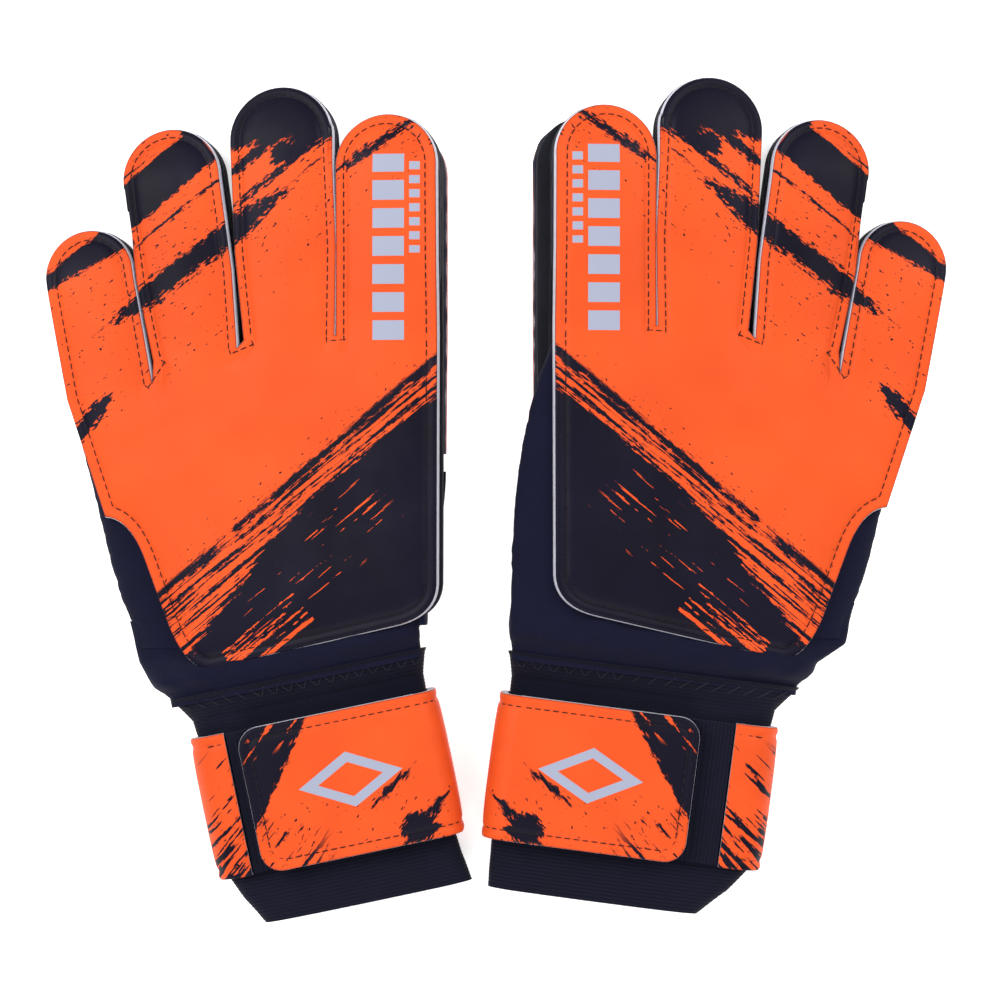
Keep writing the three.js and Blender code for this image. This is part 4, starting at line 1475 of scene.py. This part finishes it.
class GLOVES_OT_stitching(bpy.types.Operator):
    """Top stitching of the backhands and straps"""

    bl_idname = "gloves.stitching"
    bl_label = "Stitching"

    def execute(self, context):
        sizes, finish = context.scene.glove_sizes, finishes()["thread"]
        for glove in GLOVES:
            hand = Hand(glove)
            rim = hand_rim(hand)
            top, _ = backhand_faces(hand, sizes)
            for name, stall in hand.stalls.items():
                low = sizes.seam if name == "index" else sizes.slit_seam
                high = sizes.seam if name == "little" else sizes.slit_seam
                path = stall.outline(low, high)
                line = stitches(f"{glove}_{name}_stitches", [lay_on(hand, path, top, rim)], finish)
                ride_finger(line, hand, name)
            lines = [lay_on(hand, path, top, rim) for path in self.hand_paths(hand, sizes)]
            line = stitches(f"{glove}_hand_stitches", lines, finish)
            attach(line, f"{glove}_hand")
            self.strap(Wrist(glove), sizes, finish)
        return {"FINISHED"}

    def hand_paths(self, hand, sizes):
        """Down from each knuckle, square across below every slit, and round the wrist."""
        seam, slit, tail = sizes.seam, sizes.slit_seam, sizes.tail
        stalls = list(hand.stalls.values())
        for left, right in zip(stalls[:-1], stalls[1:]):
            a = left.place(np.zeros(1), np.array([left.base - slit]))[0]
            b = right.place(np.zeros(1), np.array([slit - right.base]))[0]
            run = (b - a) / np.linalg.norm(b - a)
            down = np.array([run[1], -run[0]])
            low_a, low_b = a + down * tail, b + down * tail
            yield resample([a, low_a + down * tail * 0.5], STEP)
            yield resample([b, low_b + down * tail * 0.8], STEP)
            yield resample([low_a - run * tail * 0.4, low_b + run * tail * 0.6], STEP)
        edge = hand_edge(hand)
        rim = hand_rim(hand)
        normals = inward(np.vstack([edge, rim[1:2]]))[: len(edge)]
        normals[0], normals[-1] = normals[1], normals[-2]
        path = edge + normals * seam
        first, last = stalls[-1], stalls[0]
        start = first.place(np.array([0.0]), np.array([first.base - seam]))
        end = last.place(np.array([0.0]), np.array([seam - last.base]))
        keep = distance(path, rim) > 0.97 * seam
        yield even(np.vstack([start, path[keep][2:-2], end]), STEP)

    def strap(self, wrist, sizes, finish):
        spots = wrist.node("strap_flap")
        high = spots.max(0)
        seam = sizes.seam
        rim = rounded_loop(PAST_FOLD, high[0], high[1], FLAP_CORNER)
        path = rounded_loop(0.0, high[0] - seam, high[1] - seam, 5 * MM)
        path = path[path[:, 0] > 0.2 * MM]
        order = np.argsort(np.linalg.norm(path - (0.0, high[1] - seam), axis=1))[0]
        path = np.roll(path, -order, axis=0)

        def top(xy, depth):
            return np.full(len(xy), high[2] - GROOVE)

        line = stitches(f"{wrist.glove}_flap_stitches", [lay_on(wrist, path, top, rim)], finish)
        start, end = wrist.row([[0, 0, wrist.fold], [9 * MM, 0, wrist.fold]])
        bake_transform(line)
        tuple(start)
        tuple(end)
        base = wrist.node("strap_base")
        lip = base[base[:, 0] > high[0] + 2 * MM]
        lip_top, lip_start = lip[:, 2].max(), wrist.node("strap_elastic")[:, 0].max()
        lines = []
        for y in (high[1] - seam, seam - high[1]):
            xs = np.arange(lip_start + 1 * MM, base[:, 0].max() - 5 * MM, STEP)
            points = np.column_stack([xs, np.full(len(xs), y), np.full(len(xs), lip_top - 0.75 * MM)])
            lines.append((wrist.row(points), np.tile(wrist.up, (len(xs), 1))))
            turns = np.linspace(math.pi / 2, math.pi * 0.9, 16)
            radius = -base[:, 0].min() - GROOVE
            ways = np.column_stack([np.cos(turns), np.zeros(16), np.sin(turns)])
            spots = ways * radius + (0, y, wrist.fold - radius - GROOVE)
            lines.append((wrist.row(spots), ways @ wrist.axes))
        line = stitches(f"{wrist.glove}_strap_stitches", lines, finish)
        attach(line, f"{wrist.glove}_hand")


# ------------------------------------------------------------------ stage
LAMPS = (((-0.9, 0.5, 1.2), 20), ((0.9, 0.6, 1.1), 14), ((0, -1.1, 1.1), 10))  # place, watts
LAMP_SIZE = 0.9
VIEW_CENTRE = Vector((0.0012, 0.0006, 0.02))
VIEW_WIDTH = 0.31


class GLOVES_OT_stage(bpy.types.Operator):
    """Pale floor, soft light and the camera straight above"""

    bl_idname = "gloves.stage"
    bl_label = "Stage"

    def execute(self, context):
        bpy.ops.object.select_all(action="DESELECT")
        bpy.ops.mesh.primitive_plane_add(size=6, location=(0, 0, -0.0002))
        floor = context.active_object
        floor.name = "floor"
        floor.data.materials.append(finishes()["floor"])
        floor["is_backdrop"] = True
        world = bpy.data.worlds.new("studio")
        world.use_nodes = True
        world.node_tree.nodes["Background"].inputs[0].default_value = (1, 1, 1, 1)
        world.node_tree.nodes["Background"].inputs[1].default_value = 0.45
        context.scene.world = world
        for place, power in LAMPS:
            light = bpy.data.lights.new("soft_light", "AREA")
            light.energy = power
            light.size = LAMP_SIZE
            lamp = bpy.data.objects.new("soft_light", light)
            lamp.location = place
            lamp.rotation_euler = (-Vector(place)).to_track_quat("-Z", "Y").to_euler()
            context.collection.objects.link(lamp)
        camera = bpy.data.cameras.new("camera")
        camera.lens = 120
        rig = bpy.data.objects.new("camera", camera)
        away = VIEW_WIDTH * camera.lens / camera.sensor_width
        rig.location = VIEW_CENTRE + Vector((0, 0, away))
        context.collection.objects.link(rig)
        context.scene.camera = rig
        context.scene.view_settings.view_transform = "Standard"
        return {"FINISHED"}


class GLOVES_PT_panel(bpy.types.Panel):
    """Lists the steps that build the gloves"""

    bl_label = "Goalkeeper Gloves"
    bl_idname = "GLOVES_PT_panel"
    bl_space_type = "VIEW_3D"
    bl_region_type = "UI"
    bl_category = "Gloves"

    def draw(self, context):
        for group in (context.scene.glove_sizes, context.scene.glove_colours):
            for key in group.__annotations__:
                self.layout.prop(group, key)
        for step in STEPS:
            self.layout.operator(step.bl_idname)


STEPS = (
    GLOVES_OT_backhands, GLOVES_OT_palms, GLOVES_OT_gussets, GLOVES_OT_thumbs, GLOVES_OT_cuffs,
    GLOVES_OT_straps, GLOVES_OT_stitching, GLOVES_OT_stage,
)
CLASSES = (GloveColours, GloveSizes, *STEPS, GLOVES_PT_panel)


def register():
    for cls in CLASSES:
        bpy.utils.register_class(cls)
    bpy.types.Scene.glove_colours = bpy.props.PointerProperty(type=GloveColours)
    bpy.types.Scene.glove_sizes = bpy.props.PointerProperty(type=GloveSizes)


def unregister():
    del bpy.types.Scene.glove_sizes
    del bpy.types.Scene.glove_colours
    for cls in reversed(CLASSES):
        bpy.utils.unregister_class(cls)


def main():
    register()
    for step in STEPS:
        section, action = step.bl_idname.split(".")
        getattr(getattr(bpy.ops, section), action)()
    boxes = {"cad": CAD_BOX, "visual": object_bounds()}
    sizes = {name: [list(corner) for corner in box] for name, box in boxes.items()}


if __name__ == "__main__":
    main()
